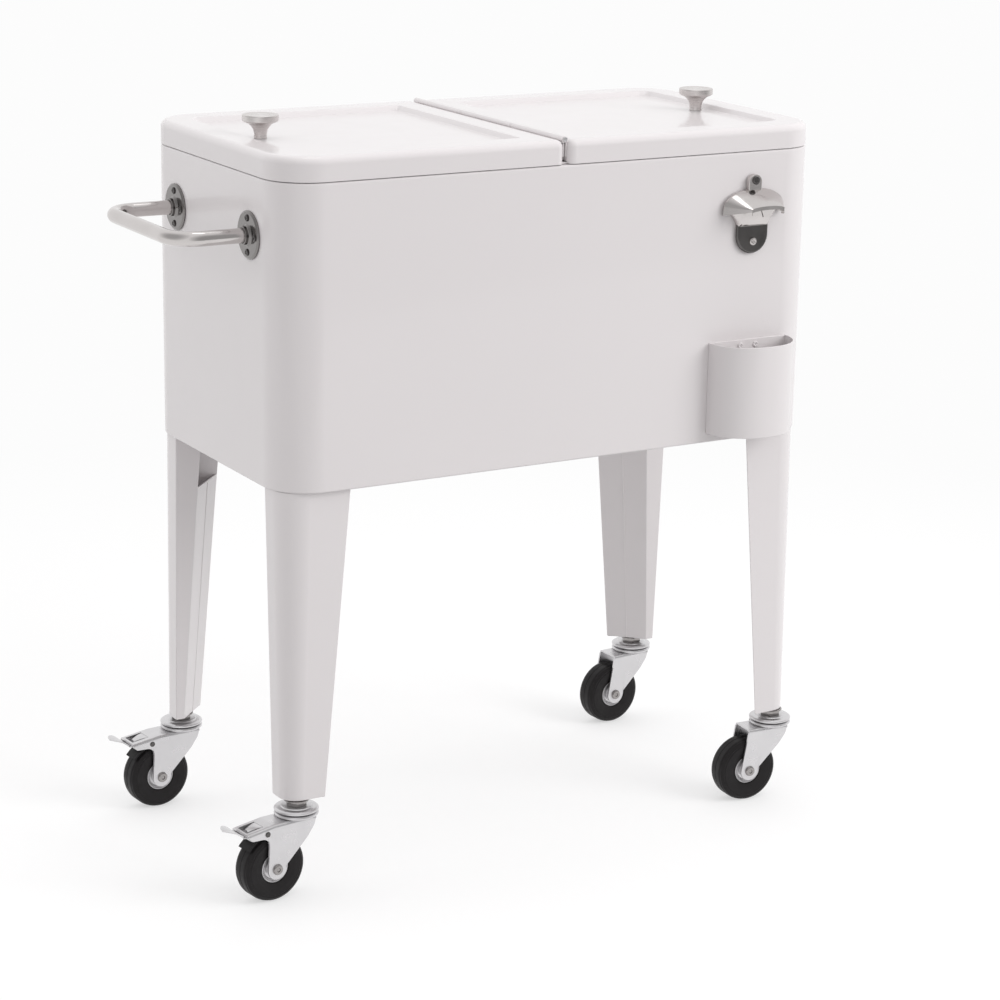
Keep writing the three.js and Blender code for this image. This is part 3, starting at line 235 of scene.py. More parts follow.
def eased(corners, radii, steps=6, closed=False):
    """A line whose corners are arcs: each starts and ends radius / tan(half the angle) from its corner and goes
    round a centre at radius / sin(half the angle) from it. Radii shrink where an edge has no room for both."""
    usable, nearly_straight, nearly_sharp = 0.98, 1e-3, 1e-7
    corners = np.asarray(corners, float)
    count = len(corners)
    radii = np.broadcast_to(np.asarray(radii, float), (count,)).copy()
    back = np.roll(corners, 1, 0) - corners
    ahead = np.roll(corners, -1, 0) - corners
    length = np.maximum(np.linalg.norm(ahead, axis=1), tiny)
    back /= np.roll(length, 1)[:, None]
    ahead /= length[:, None]
    half = np.clip(np.arccos(np.clip((back * ahead).sum(1), -1, 1)) / 2, nearly_straight, None)
    radii[half > np.pi / 2 - nearly_straight] = 0
    if not closed:
        radii[[0, -1]] = 0
    taken = radii / np.tan(half)
    room = length * usable / np.maximum(taken + np.roll(taken, -1), tiny)
    radii *= np.minimum(1, np.minimum(room, np.roll(room, 1)))
    line = []
    for here, radius, to_back, to_ahead, angle in zip(corners, radii, back, ahead, half):
        if radius < nearly_sharp:
            line.append(here[None])
            continue
        centre = here + (to_back + to_ahead) / np.linalg.norm(to_back + to_ahead) * radius / np.sin(angle)
        start = here + to_back * radius / np.tan(angle) - centre
        end = here + to_ahead * radius / np.tan(angle) - centre
        sweep = np.arccos(np.clip(start @ end / radius**2, -1, 1))
        share = np.linspace(0, 1, steps + 1)[:, None]
        arc = (np.sin((1 - share) * sweep) * start + np.sin(share * sweep) * end) / np.sin(sweep)
        line.append(centre + arc)
    return np.concatenate(line)


def rim_grid(edges, radii, profile, steps, least=0.0004):
    """A profile of (inset, height) carried round a rectangle with round corners: a point lies at its corner's
    centre + radius * (cos, sin) over a quarter turn, and the radius shrinks with the inset."""
    inset, height = (np.asarray(profile, float)[:, k, None, None] for k in (0, 1))
    left, right, front, back = edges
    corner_x = np.array([right, right, left, left])[None, :, None]
    corner_y = np.array([front, back, back, front])[None, :, None]
    inward_x = np.array([-1, -1, 1, 1])[None, :, None]
    inward_y = np.array([1, -1, -1, 1])[None, :, None]
    radius = np.maximum(np.asarray(radii, float)[None, :, None] - inset, least)
    angle = (np.arange(-1, 3)[None, :, None] + np.linspace(0, 1, steps + 1)) * np.pi / 2
    x = corner_x + inward_x * (inset + radius) + radius * np.cos(angle)
    y = corner_y + inward_y * (inset + radius) + radius * np.sin(angle)
    z = np.broadcast_to(height, x.shape)
    return np.stack([x, y, z], -1).reshape(len(profile), -1, 3)


def offset_loop(loop, distance):
    """A closed outline moved inwards: each point goes along the mean of its two edges' normals, lengthened
    so that both edges move by the same distance, as far as the sharpest corner allows."""
    sharpest = 0.35
    normal_a, normal_b = (
        np.stack([-edge[:, 1], edge[:, 0]], 1) / np.maximum(np.linalg.norm(edge, axis=1), tiny)[:, None]
        for edge in (loop - np.roll(loop, 1, 0), np.roll(loop, -1, 0) - loop)
    )
    both = normal_a + normal_b
    both /= np.maximum(np.linalg.norm(both, axis=1), tiny)[:, None]
    stretch = 1 / np.clip((both * normal_a).sum(1), sharpest, 1)
    return loop + both * stretch[:, None] * distance


def levels(loop, rows):
    """An outline stacked up as a grid, with an (inset, height) for each row."""
    return np.stack([
        np.column_stack([offset_loop(loop, inset), np.full(len(loop), height)]) for inset, height in rows
    ])


def slab(loop, low, high, edge, steps=3):
    """A flat piece with an anticlockwise outline and eased edges: the outline moves in by
    edge * (1 - sin a) while its height comes within edge * (1 - cos a) of a face."""
    angle = np.linspace(0, np.pi / 2, steps + 1)
    insets = edge * (1 - np.sin(angle))
    drops = edge * (1 - np.cos(angle))
    rows = [(inset, low + drop) for inset, drop in zip(insets, drops)]
    rows += [(inset, high - drop) for inset, drop in zip(insets[::-1], drops[::-1])]
    return solid(levels(loop, rows))


def lathe(profile, sides, closed=False):
    """A profile of (radius, height) turned about Z: (r cos t, r sin t, z)."""
    profile = np.asarray(profile, float)
    turn = np.arange(sides) * 2 * np.pi / sides
    radius, height = profile[:, 0, None], profile[:, 1, None]
    grid = np.stack([
        radius * np.cos(turn), radius * np.sin(turn), np.broadcast_to(height, (len(profile), sides)),
    ], -1)
    return skin(grid, close_rows=closed)


def turned(corners, radii, steps, sides, closed=False):
    """A profile of (radius, height) with its corners eased, turned about Z."""
    return lathe(eased(corners, radii, steps, closed), sides, closed)


def swept(path, outwards, section):
    """A closed section of (out, up) carried along a path in plan: path + out * outwards + up * Z."""
    out, up = section[:, 0], section[:, 1]
    grid = path[:, None, :] + out[None, :, None] * outwards[:, None, :]
    grid[..., 2] += up[None, :]
    return solid(grid)


def outwards_of(path, ends=None):
    """The level direction square to a path at each point, where ends are the path's own directions at its
    first and last point if they are known."""
    ahead = np.gradient(path, axis=0)
    if ends is not None:
        ahead[[0, -1]] = ends
    ahead /= np.linalg.norm(ahead, axis=1)[:, None]
    return np.stack([ahead[:, 1], -ahead[:, 0], np.zeros(len(path))], 1)


def sideways(shape, x, z):
    """Turns a shape made along Z to lie along Y at a place in X and Z."""
    points, faces = shape
    return np.stack([points[:, 0] + x, points[:, 2], points[:, 1] + z], 1), faces


def ring(radius, steps, start=0.0, end=2 * np.pi, centre=(0.0, 0.0)):
    """Points on a circle's arc, without the last one if it is a whole circle."""
    whole = abs(abs(end - start) - 2 * np.pi) < 1e-9
    turn = np.linspace(start, end, steps, endpoint=not whole)
    return np.column_stack([centre[0] + radius * np.cos(turn), centre[1] + radius * np.sin(turn)])


def block(low, high, edge):
    """A box with eased edges."""
    (x0, y0, z0), (x1, y1, z1) = low, high
    loop = eased([(x0, y0), (x1, y0), (x1, y1), (x0, y1)], edge, 3, closed=True)
    return slab(loop, z0, z1, edge)


def doubled(upper, thick):
    """A grid of points made solid by a second one under it."""
    lower = upper[:, ::-1] - [0, 0, thick]
    return solid(np.concatenate([upper, lower], 1))


def cross_screw(radius, height, sides=32):
    """A pan head screw along Z: a dome whose cross recess is pressed in, where the depth falls off over the
    distance from the nearer arm. The recess's sizes are shares of the head's radius and height."""
    steps, brim, arm_width, arm_length, recess = 12, 0.45, 0.16, 0.62, 0.45
    across = np.linspace(0, 1, steps + 1)[:, None]
    turn = np.arange(sides)[None, :] * 2 * np.pi / sides
    dome = height * (brim + (1 - brim) * np.sqrt(np.clip(1 - (across * 0.98) ** 4, 0, 1)))
    x, y = radius * across * np.cos(turn), radius * across * np.sin(turn)
    arm = np.minimum(np.abs(x), np.abs(y)) / (arm_width * radius)
    along = np.maximum(np.abs(x), np.abs(y)) / (arm_length * radius)
    cut = np.clip(1.6 - arm, 0, 1) * np.clip((1.0 - along) * 4, 0, 1)
    top = np.stack([x, y, dome - recess * height * cut], -1)
    return skin(np.concatenate([top, top[-1:] * [1, 1, 0]]), cap_end=True)


def facing(origin, normal, up=(0, 0, 1)):
    """The matrix that sets a shape's Z along a normal and its Y along up, at the origin."""
    z = Vector(normal).normalized()
    x = Vector(up).cross(z).normalized()
    y = z.cross(x)
    turn = Matrix((x, y, z)).transposed().to_4x4()
    return Matrix.Translation(Vector(origin)) @ turn


def add_node(tree, kind, inputs=None, **properties):
    """A new node with its properties set, each of whose inputs takes a value or another node's output."""
    made = tree.nodes.new(f"ShaderNode{kind}")
    for key, value in properties.items():
        setattr(made, key, value)
    for key, value in (inputs or {}).items():
        if isinstance(value, bpy.types.NodeSocket):
            tree.links.new(value, made.inputs[key])
        else:
            made.inputs[key].default_value = value
    return made


def grey(level):
    return (level, level, level, 1)


class Finish:
    """A node material in the making: its shader, and short ways to feed it."""

    def __init__(self, name, colour, roughness, metallic=0.0, coat=0.0, specular=0.5):
        self.material = bpy.data.materials.new(name)
        self.material.use_nodes = True
        self.tree = self.material.node_tree
        self.shader = self.tree.nodes["Principled BSDF"]
        self.colour = colour
        self.set("Base Color", (*colour, 1))
        self.set("Roughness", roughness)
        self.set("Metallic", metallic)
        self.set("Coat Weight", coat)
        self.set("Specular IOR Level", specular)
        self.place = self.node("TexCoord").outputs["Object"]

    def set(self, name, value):
        """Gives the shader's socket a value."""
        self.shader.inputs[name].default_value = value

    def feed(self, name, source):
        """Links a source to the shader's socket."""
        self.tree.links.new(source, self.shader.inputs[name])

    def node(self, kind, inputs=None, **properties):
        return add_node(self.tree, kind, inputs, **properties)

    def noise(self, scale, detail=3.0, roughness=0.5, place=None):
        """Noise in the object's own coordinates, or in those of another place."""
        values = {"Vector": place or self.place, "Scale": scale, "Detail": detail, "Roughness": roughness}
        return self.node("TexNoise", values).outputs["Fac"]

    def ranged(self, source, low, high, start=0.3, end=0.7):
        """A number that runs from low to high as the source runs from start to end."""
        values = {"Value": source, "From Min": start, "From Max": end, "To Min": low, "To Max": high}
        return self.node("MapRange", values).outputs["Result"]

    def toned(self, source, dark, light):
        """The finish's colour, times a factor between dark and light by the source. The mixing node's
        colours are its inputs 6 and 7 and its output 2."""
        dark, light = ((*shade(self.colour, factor), 1) for factor in (dark, light))
        return self.node("Mix", {"Factor": source, 6: dark, 7: light}, data_type="RGBA").outputs[2]

    def bump(self, source, depth, strength):
        """Raises the surface by the source, the depth being its height in metres."""
        made = self.node("Bump", {"Height": source, "Distance": depth, "Strength": strength})
        self.feed("Normal", made.outputs["Normal"])

    def uneven(self, tone, tones, gloss, roughness, grain, depth, strength=0.5):
        """Feeds colour, roughness and height by three noises, each given as (scale, detail, roughness):
        the tone's between two factors, the gloss's between two values and the grain's in metres."""
        self.feed("Base Color", self.toned(self.noise(*tone), *tones))
        self.feed("Roughness", self.ranged(self.noise(*gloss), *roughness))
        self.bump(self.noise(*grain), depth, strength)
        return self.material


def shade(colour, factor):
    """A colour times a factor."""
    return tuple(float(min(1, c * factor)) for c in colour)


def powder_coat():
    """Glossy white powder coat: the faint orange peel of baked powder and slow changes of tone."""
    made = Finish("powder coat", colours().body, 0.34, coat=0.6)
    made.set("Coat Roughness", 0.07)
    return made.uneven((5, 3), (0.985, 1.012), (38, 3), (0.30, 0.38), (520, 2, 0.55), 0.00004)


def moulded_plastic(name, colour, grain, roughness):
    """Moulded plastic with a fine grain."""
    made = Finish(name, colour, roughness)
    return made.uneven((9, 3), (0.97, 1.02), (60, 3), (roughness - 0.06, roughness + 0.06), (grain, 2), 0.00003)


def foam_beads():
    """Cut foam: rounded cells of slightly different tone."""
    made = Finish("foam beads", colours().foam, 0.95)
    cells = made.node("TexVoronoi", {"Vector": made.place, "Scale": 380}).outputs["Distance"]
    made.feed("Base Color", made.toned(cells, 1.05, 0.86))
    made.bump(cells, 0.0006, 0.6)
    return made.material


def polished_steel(name, colour):
    """Polished stainless steel: fine draw lines, slight cloudiness and a low, uneven roughness."""
    made = Finish(name, colour, 0.12, metallic=1.0)
    return made.uneven((28, 4), (0.9, 1.06), (70, 4), (0.07, 0.17), (1400, 2), 0.000006, 0.4)


def brushed_steel(centre):
    """Brushed steel turned on a lathe: the lines lie round the knob's own axis, because the noise is taken
    at (distance from the axis, height)."""
    made = Finish("brushed steel", shade(colours().steel, 1.15), 0.3, metallic=1.0)
    made.set("Anisotropic", 0.55)
    away = made.node("VectorMath", {0: made.place, 1: centre}, operation="SUBTRACT")
    apart = made.node("SeparateXYZ", {"Vector": away.outputs["Vector"]}).outputs
    flat = made.node("CombineXYZ", {"X": apart["X"], "Y": apart["Y"]})
    reach = made.node("VectorMath", {0: flat.outputs["Vector"]}, operation="LENGTH")
    lines = made.node("CombineXYZ", {"X": reach.outputs["Value"], "Y": apart["Z"]})
    fine = made.noise(3200, 3, place=lines.outputs["Vector"])
    made.feed("Base Color", made.toned(fine, 0.82, 1.1))
    made.feed("Roughness", made.ranged(fine, 0.2, 0.36))
    made.bump(fine, 0.00002, 0.5)
    return made.material


def bright_zinc():
    """Bright zinc plating on pressed steel: even and satin, with slow changes of tone and a fine grain."""
    made = Finish("bright zinc", colours().zinc, 0.3, metallic=0.9)
    return made.uneven((40, 2), (0.94, 1.04), (90, 2), (0.26, 0.34), (900, 2), 0.000004, 0.4)


def rubber(name, colour, roughness):
    """Moulded rubber: nearly black, a slight bloom and a fine grain."""
    made = Finish(name, colour, roughness, specular=0.24)
    return made.uneven((55, 4), (0.8, 1.3), (130, 3), (roughness - 0.08, roughness + 0.1), (1100, 3), 0.00005)


finishes = {}


def finish(name):
    """The material of that name, made the first time it is asked for."""
    makers = {
        "coat": powder_coat,
        "liner": lambda: moulded_plastic("liner plastic", colours().liner, 700, 0.42),
        "drain": lambda: moulded_plastic("drain plastic", shade(colours().liner, 0.9), 1100, 0.5),
        "foam": foam_beads,
        "seal": lambda: rubber("seal rubber", colours().seal, 0.7),
        "steel": lambda: polished_steel("polished steel", colours().steel),
        # The flanges' steel is the polished steel at 0.4 of its colour: a painted darker reflection, not a
        # darker metal.
        "flange": lambda: polished_steel("flange steel painted darker for reflection", shade(colours().steel, 0.4)),
        # The polished steel at 0.2 of its colour: a painted dark reflection on the opener's plate, and painted
        # shade on the handle's screws and the brake pins.
        "plate": lambda: polished_steel("steel painted dark for reflection and shade", shade(colours().steel, 0.2)),
        "nut": lambda: polished_steel("nut steel", shade(colours().steel, 0.58)),
        "zinc": bright_zinc,
        "tyre": lambda: rubber("tyre rubber", colours().tyre, 0.46),
        "shoe": lambda: rubber("shoe rubber", shade(colours().tyre, 0.6), 0.4),
    }
    if name not in finishes:
        finishes[name] = makers[name]()
    return finishes[name]


def repaint(node, look):
    """Gives a CAD node that stays in view its finish."""
    shown, slot = frame["nodes"][node], slots[look]
    shown.data.materials.clear()
    shown.data.materials.append(finish(look))


def edges_of(node):
    """The node's box in plan, as left, right, front and back."""
    low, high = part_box(node)
    return low.x, high.x, low.y, high.y


def tub_radii():
    return (sizes().corner_radius,) * 4


class COOLER_OT_tub(Operator):
    """The tub's folded sheet steel band with its rims turned in, and the base pan under it"""

    bl_idname = "cooler.tub"
    bl_label = "Tub"

    def execute(self, context):
        s = sizes()
        bottom, top = tub_low.z, tub_high.z
        turn_in, turn_under = 0.017, 0.020
        profile = eased([
            (turn_under, bottom), (0, bottom), (0, top), (turn_in, top),
            (turn_in, top - s.sheet), (s.sheet, top - s.sheet),
            (s.sheet, bottom + s.sheet), (turn_under, bottom + s.sheet),
        ], [0, s.edge_radius, s.edge_radius, 0, 0, s.sheet, s.sheet, 0], 5, closed=True)
        band = rim_grid(edges_of("tub_shell"), tub_radii(), profile, s.round_steps)
        piece("tub_band", [skin(band, close_rows=True)], "coat", "tub", ["tub_shell"])
        self.base_pan()
        return {"FINISHED"}

    def base_pan(self):
        """The pan's lip stands inside the band, and two long ribs stiffen its floor."""
        s = sizes()
        low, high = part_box("base_pan")
        floor, rib = low.z + s.sheet, 0.0012
        flat, slope, middle = 0.05, 0.055, 0.07
        profile = eased([
            (middle, low.z + rib), (slope, low.z + rib), (flat, low.z), (0, low.z), (0, high.z),
            (s.sheet, high.z), (s.sheet, floor), (flat, floor), (slope, floor + rib / 2),
            (middle, floor + rib / 2),
        ], 0.0006, 4)
        radius = s.corner_radius - (low.x - tub_low.x)
        grid = rim_grid(edges_of("base_pan"), (radius,) * 4, profile, s.round_steps)
        piece("base_pan_pressed", [solid(grid)], "coat", "tub", ["base_pan"])


class COOLER_OT_liner(Operator):
    """The moulded liner: a cup with round corners and a rim that breaks for the centre rail"""

    bl_idname = "cooler.liner"
    bl_label = "Liner"

    def execute(self, context):
        s = sizes()
        low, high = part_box("inner_liner")
        rail_low, rail_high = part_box("centre_rail")
        wall, rim_height, middle = 0.0025, 0.0023, 0.15
        inside = s.liner_inset
        outside = inside - wall
        lip = high.z - rim_height
        floor = low.z + wall
        profile = eased([
            (middle, low.z), (outside, low.z), (outside, lip), (inside, lip), (inside, floor), (middle, floor),
        ], [0, s.liner_bend + wall, 0.0002, 0.0002, s.liner_bend, 0], 8)
        grid = rim_grid(edges_of("tub_shell"), tub_radii(), profile, s.round_steps)
        rail_edge = (rail_high.x - rail_low.x) / 2 + 0.0004
        shapes = [solid(grid)]
        shapes += [self.rim(side, rail_edge, lip + 0.0001, high.z, inside) for side in (-1, 1)]
        piece("liner_moulding", shapes, "liner", "tub", ["inner_liner"])
        repaint("foam_insulation", "foam")
        return {"FINISHED"}

    def rim(self, side, rail_edge, low, high, inside):
        """Half of the rim: a rounded strip along the tub's outline from the rail round one end."""
        start_inset = 0.005
        mid, width = (inside + start_inset) / 2, (inside - start_inset) / 2
        outline = rim_grid(edges_of("tub_shell"), tub_radii(), [(mid, low)], sizes().round_steps)[0]
        keep = outline[(outline[:, 0] - tub_middle.x) * side > 0]
        angle = np.arctan2(keep[:, 1] - tub_middle.y, (keep[:, 0] - tub_middle.x) * side)
        keep = keep[np.argsort(angle)]
        ends = keep[[0, -1]]
        ends[:, 0] = tub_middle.x + side * rail_edge
        path = np.concatenate([ends[:1], keep, ends[1:]])
        section = eased([
            (-width, 0), (width, 0), (width, high - low), (-width, high - low),
        ], [0.0004, 0.0004, 0.0009, 0.0009], 4, closed=True)
        return swept(path, outwards_of(path) * side, section)


class COOLER_OT_drain(Operator):
    """The drain's flanged spout and its ribbed cap"""

    bl_idname = "cooler.drain"
    bl_label = "Drain"

    def execute(self, context):
        low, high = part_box("drain_spout")
        centre = ((low.x + high.x) / 2, (low.y + high.y) / 2, 0)
        bore, wall, flange, thick = 0.008, 0.011, 0.0168, 0.002
        spout = turned([
            (bore, low.z), (wall, low.z), (wall, high.z - thick), (flange, high.z - thick),
            (flange, high.z), (bore, high.z),
        ], [0.0004, 0.0006, 0.0002, 0.0006, 0.0008, 0.0006], 4, 48, closed=True)
        piece("drain_spout_moulding", [shifted(spout, centre)], "drain", "tub", ["drain_spout"])
        low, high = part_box("drain_cap")
        inner, outer, ribs = 0.0113, 0.0133, 24
        roof = low.z + thick
        shapes = [turned([
            (0, low.z), (outer, low.z), (outer, high.z), (inner, high.z), (inner, roof), (0, roof),
        ], [0, 0.001, 0.0005, 0.0004, 0.0004, 0], 4, 72)]
        rib = shifted(slab(ring(0.0007, 10), roof, high.z - 0.0015, 0.0003), (outer, 0, 0))
        shapes += [turned_by(rib, Matrix.Rotation(k * 2 * np.pi / ribs, 4, "Z")) for k in range(ribs)]
        shapes = [shifted(shape, centre) for shape in shapes]
        piece("drain_cap_moulding", shapes, "drain", "drain_cap", ["drain_cap"])
        return {"FINISHED"}


class COOLER_OT_hinge(Operator):
    """The centre rail across the mouth, the pin and the two leaves with their rolled knuckles"""

    bl_idname = "cooler.hinge"
    bl_label = "Rail and hinge"

    def execute(self, context):
        self.axis = Vector(joints["lid_left_hinge"]["pos_m"])
        spans = self.knuckle_spans()
        self.rail(spans)
        self.pin()
        self.leaf(-1, "left", spans[::2])
        self.leaf(1, "right", spans[1:2])
        return {"FINISHED"}

    def pin(self):
        """A pin with a head at each end."""
        low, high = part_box("hinge_pin")
        shaft, head, long = 0.0016, 0.0026, 0.0012
        shape = turned([
            (0, low.y), (head, low.y), (head, low.y + long), (shaft, low.y + long),
            (shaft, high.y - long), (head, high.y - long), (head, high.y), (0, high.y),
        ], [0, 0.0008, 0.0002, 0.0002, 0.0002, 0.0002, 0.0008, 0], 4, 32)
        shape = sideways(shape, self.axis.x, self.axis.z)
        piece("hinge_pin_turned", [shape], "zinc", "tub", ["hinge_pin"], "brushed")

    def knuckle_spans(self):
        """The barrel's three equal lengths, with the rail's eyes between them."""
        low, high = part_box("lid_left_leaf")
        count, gap = 3, 0.003
        long = (high.y - low.y - (count - 1) * gap) / count
        return [(low.y + k * (long + gap), low.y + k * (long + gap) + long) for k in range(count)]

    def knuckle(self, start, end):
        """A rolled sheet tube with softened ends."""
        inner, outer = 0.002, 0.0033
        tube = turned([(inner, start), (outer, start), (outer, end), (inner, end)], 0.0004, 3, 36, closed=True)
        return sideways(tube, self.axis.x, self.axis.z)

    def leaf(self, side, name, spans):
        """A plate that hangs beside the rail, with a web up to each of its knuckles."""
        low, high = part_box("lid_left_leaf")
        x, z = self.axis.x, self.axis.z
        near, far = (x + reach for reach in sorted((side * 0.00125, side * 0.00215)))
        shapes = [block((near, low.y, low.z), (far, high.y, z - 0.0036), 0.0003)]
        for start, end in spans:
            shapes.append(self.knuckle(start, end))
            shapes.append(block((near, start, z - 0.005), (far, end, z - 0.0022), 0.0002))
        piece(f"hinge_leaf_{name}", shapes, "coat", f"lid_{name}", [f"lid_{name}_leaf"])

    def rail(self, spans):
        """A folded channel: a flat top, two flanges turned down into the mouth, and the pin's eyes."""
        low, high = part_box("centre_rail")
        x, thick, eye, foot = self.axis.x, 0.002, 0.0009, self.axis.z - 0.0022
        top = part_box("inner_liner")[1].z
        under = top - thick - 0.0004
        half = (high.x - low.x) / 2
        mouth = (tub_high.y - tub_low.y) / 2 - 0.0268
        section = eased([
            (-half, low.z), (-half + thick, low.z), (-half + thick, under), (half - thick, under),
            (half - thick, low.z), (half, low.z), (half, top - 0.0002), (-half, top - 0.0002),
        ], [0.0004, 0.0004, 0.0012, 0.0012, 0.0004, 0.0004, 0.002, 0.002], 4, closed=True)
        channel = np.stack([
            np.column_stack([x + section[:, 0], np.full(len(section), tub_middle.y + y), section[:, 1]])
            for y in (-mouth, mouth)
        ])
        shapes = [
            block((x - half, low.y, top - thick), (x + half, high.y, top), 0.0006),
            solid(channel),
        ]
        for before, after in zip(spans[:-1], spans[1:]):
            start, end = before[1] + 0.0003, after[0] - 0.0003
            shapes.append(self.knuckle(start, end))
            shapes.append(block((x - eye, start, top - thick / 2), (x + eye, end, foot), 0.0002))
        piece("centre_rail_folded", shapes, "coat", "tub", ["centre_rail"])


class COOLER_OT_lids(Operator):
    """The two drawn lids with their sunk panels, trays and seals"""

    bl_idname = "cooler.lids"
    bl_label = "Lids"

    def execute(self, context):
        for side, name in ((-1, "left"), (1, "right")):
            outer, inner = [sizes().corner_radius] * 2, [sizes().lid_end] * 2
            self.body = f"lid_{name}"
            self.radii = np.array(inner + outer if side < 0 else outer + inner)
            self.skin(side)
            self.tray()
            self.seal()
            repaint(f"lid_{name}_foam", "foam")
        return {"FINISHED"}

    def rings(self, node, profile, least, radii=None):
        """A profile carried round the lid's piece, by the lid's own corner radii unless others are given."""
        radii = self.radii if radii is None else radii
        return rim_grid(edges_of(node), radii, profile, sizes().round_steps, least)

    def skin(self, side):
        """A pan drawn from one sheet: outside from the skirt over the edge to the panel, and the inside
        one sheet's thickness below it. The skirt on the hinge side clears the rail."""
        s = sizes()
        node = f"{self.body}_skin"
        low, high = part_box(node)
        sheet, top, drop = 0.001, high.z, s.panel_drop
        rim, foot = s.panel_inset, s.panel_inset + s.panel_slope
        middle, fold, root = foot + 0.02, 0.0022, 0.0026
        outside = eased([
            (0, low.z), (0, top), (rim, top), (foot, top - drop), (middle, top - drop),
        ], [0, s.lid_edge, fold, root, 0], 9)
        shift = sheet * np.tan(np.arctan2(drop, s.panel_slope) / 2)
        inside = eased([
            (sheet, low.z), (sheet, top - sheet), (rim - shift, top - sheet),
            (foot - shift, top - drop - sheet), (middle, top - drop - sheet),
        ], [0, s.lid_edge - sheet, fold, root, 0], 9)
        grids = [self.rings(node, profile, 0.0035) for profile in (inside, outside)]
        hinge_x = high.x if side < 0 else low.x
        for grid in grids:
            skirt = grid[0]
            skirt[np.abs(skirt[:, 0] - hinge_x) < 0.0012, 2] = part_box("inner_liner")[1].z + 0.001
        pan = solid(np.concatenate([grids[0][::-1], grids[1]]))
        piece(f"{self.body}_pan", [pan], "coat", self.body, [node])

    def tray(self):
        """The moulded underside: a flat border, then a raised pad that reaches towards the mouth."""
        node = f"{self.body}_tray"
        low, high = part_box(node)
        pad, slope, reach, middle = 0.034, 0.006, 0.0022, 0.075
        profile = eased([
            (0, high.z), (0, low.z), (pad, low.z), (pad + slope, low.z - reach), (middle, low.z - reach),
        ], [0.0005, 0.0006, 0.002, 0.002, 0], 6)
        grid = self.rings(node, np.concatenate([[(middle, high.z)], profile]), 0.004)
        tray = solid(grid)
        piece(f"{self.body}_lining", [tray], "liner", self.body, [node])

    def seal(self):
        """A soft strip with a round lower face."""
        node = f"{self.body}_seal"
        low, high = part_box(node)
        width, lean = 0.008, 0.001
        profile = eased([
            (0, high.z), (lean, low.z), (width - lean, low.z), (width, high.z),
        ], [0.0003, 0.0022, 0.0022, 0.0003], 6, closed=True)
        strip = skin(self.rings(node, profile, 0.002, self.radii - width), close_rows=True)
        piece(f"{self.body}_seal_strip", [strip], "seal", self.body, [node])


class COOLER_OT_knobs(Operator):
    """The turned knobs: a flared stem under a thick round head"""

    bl_idname = "cooler.knobs"
    bl_label = "Knobs"

    def execute(self, context):
        s = sizes()
        for name in ("left", "right"):
            node = f"lid_{name}_knob"
            low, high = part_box(node)
            centre = ((low.x + high.x) / 2, (low.y + high.y) / 2, 0)
            radius, head = (high.x - low.x) / 2, high.z - s.knob_disc
            share = np.linspace(0, 1, 26)
            flare = np.column_stack([
                s.knob_waist * (1 + 0.04 * (1 - share) ** 6 + 1.3 * share**3.2),
                low.z + (head - low.z) * share,
            ])
            chamfer, dip = 0.0016, 0.0004
            rounds = eased([
                (radius - chamfer * 1.5, head), (radius, head + chamfer), (radius, high.z),
                (radius - 0.004, high.z), (radius - 0.0055, high.z - dip), (0, high.z - dip),
            ], [0.0005, 0.0007, 0.0012, 0.0006, 0.0006, 0], 5)
            knob = shifted(lathe(np.concatenate([[(0, low.z)], flare, rounds]), 96), centre)
            piece(f"knob_{name}", [knob], brushed_steel(centre), f"lid_{name}", [node], "brushed")
        return {"FINISHED"}


class COOLER_OT_handle(Operator):
    """The bent handle bar, with its two round flanges and their screws"""

    bl_idname = "cooler.handle"
    bl_label = "Handle"

    def execute(self, context):
        low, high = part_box("handle_bar")
        r = sizes().bar_radius
        far, front, back = low.x + r, low.y + r, high.y - r
        plan = eased([(high.x, front), (far, front), (far, back), (high.x, back)], sizes().bar_bend, 28)
        path = np.column_stack([plan, np.full(len(plan), (low.z + high.z) / 2)])
        bar = swept(path, outwards_of(path, [(-1, 0, 0), (1, 0, 0)]), ring(r, 48))
        piece("handle_bar_bent", [bar], "steel", "tub", ["handle_bar"])
        for name in ("front", "rear"):
            self.flange(name)
        return {"FINISHED"}

    def flange(self, name):
        """A spun disc with a collar round the bar and four cross head screws."""
        node = f"handle_flange_{name}"
        low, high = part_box(node)
        place = facing((high.x, (low.y + high.y) / 2, (low.z + high.z) / 2), (-1, 0, 0))
        radius, thick, bore = (high.y - low.y) / 2, 0.0025, sizes().bar_radius + 0.0002
        collar, top = bore + 0.0016, thick + 0.0058
        disc = turned([
            (0, 0), (radius, 0), (radius, thick * 0.6), (radius - 0.002, thick), (bore + 0.0035, thick),
            (collar, thick + 0.0022), (collar, top), (bore, top), (bore, thick - 0.0004), (0, thick - 0.0004),
        ], [0, 0.0003, 0.0008, 0.0008, 0.0012, 0.0012, 0.0005, 0.0003, 0.0001, 0], 5, 84)
        # The disc takes the polished steel painted darker, which stands in for its darker reflection.
        piece(f"handle_flange_{name}_disc", [turned_by(disc, place)], "flange", "tub", [node])
        screws = []
        for k in range(4):
            spot = Matrix.Rotation(k * np.pi / 2, 4, "Z") @ Matrix.Translation((0.0175, 0, thick - 0.0002))
            lean = Matrix.Rotation(0.5 + k * (1.1 - np.pi / 2), 4, "Z")
            screws.append(turned_by(cross_screw(0.0036, 0.0018), place @ spot @ lean))
        # The screws take the steel painted dark, which stands in for the shade in their heads.
        piece(f"handle_screws_{name}", screws, "plate", "tub")


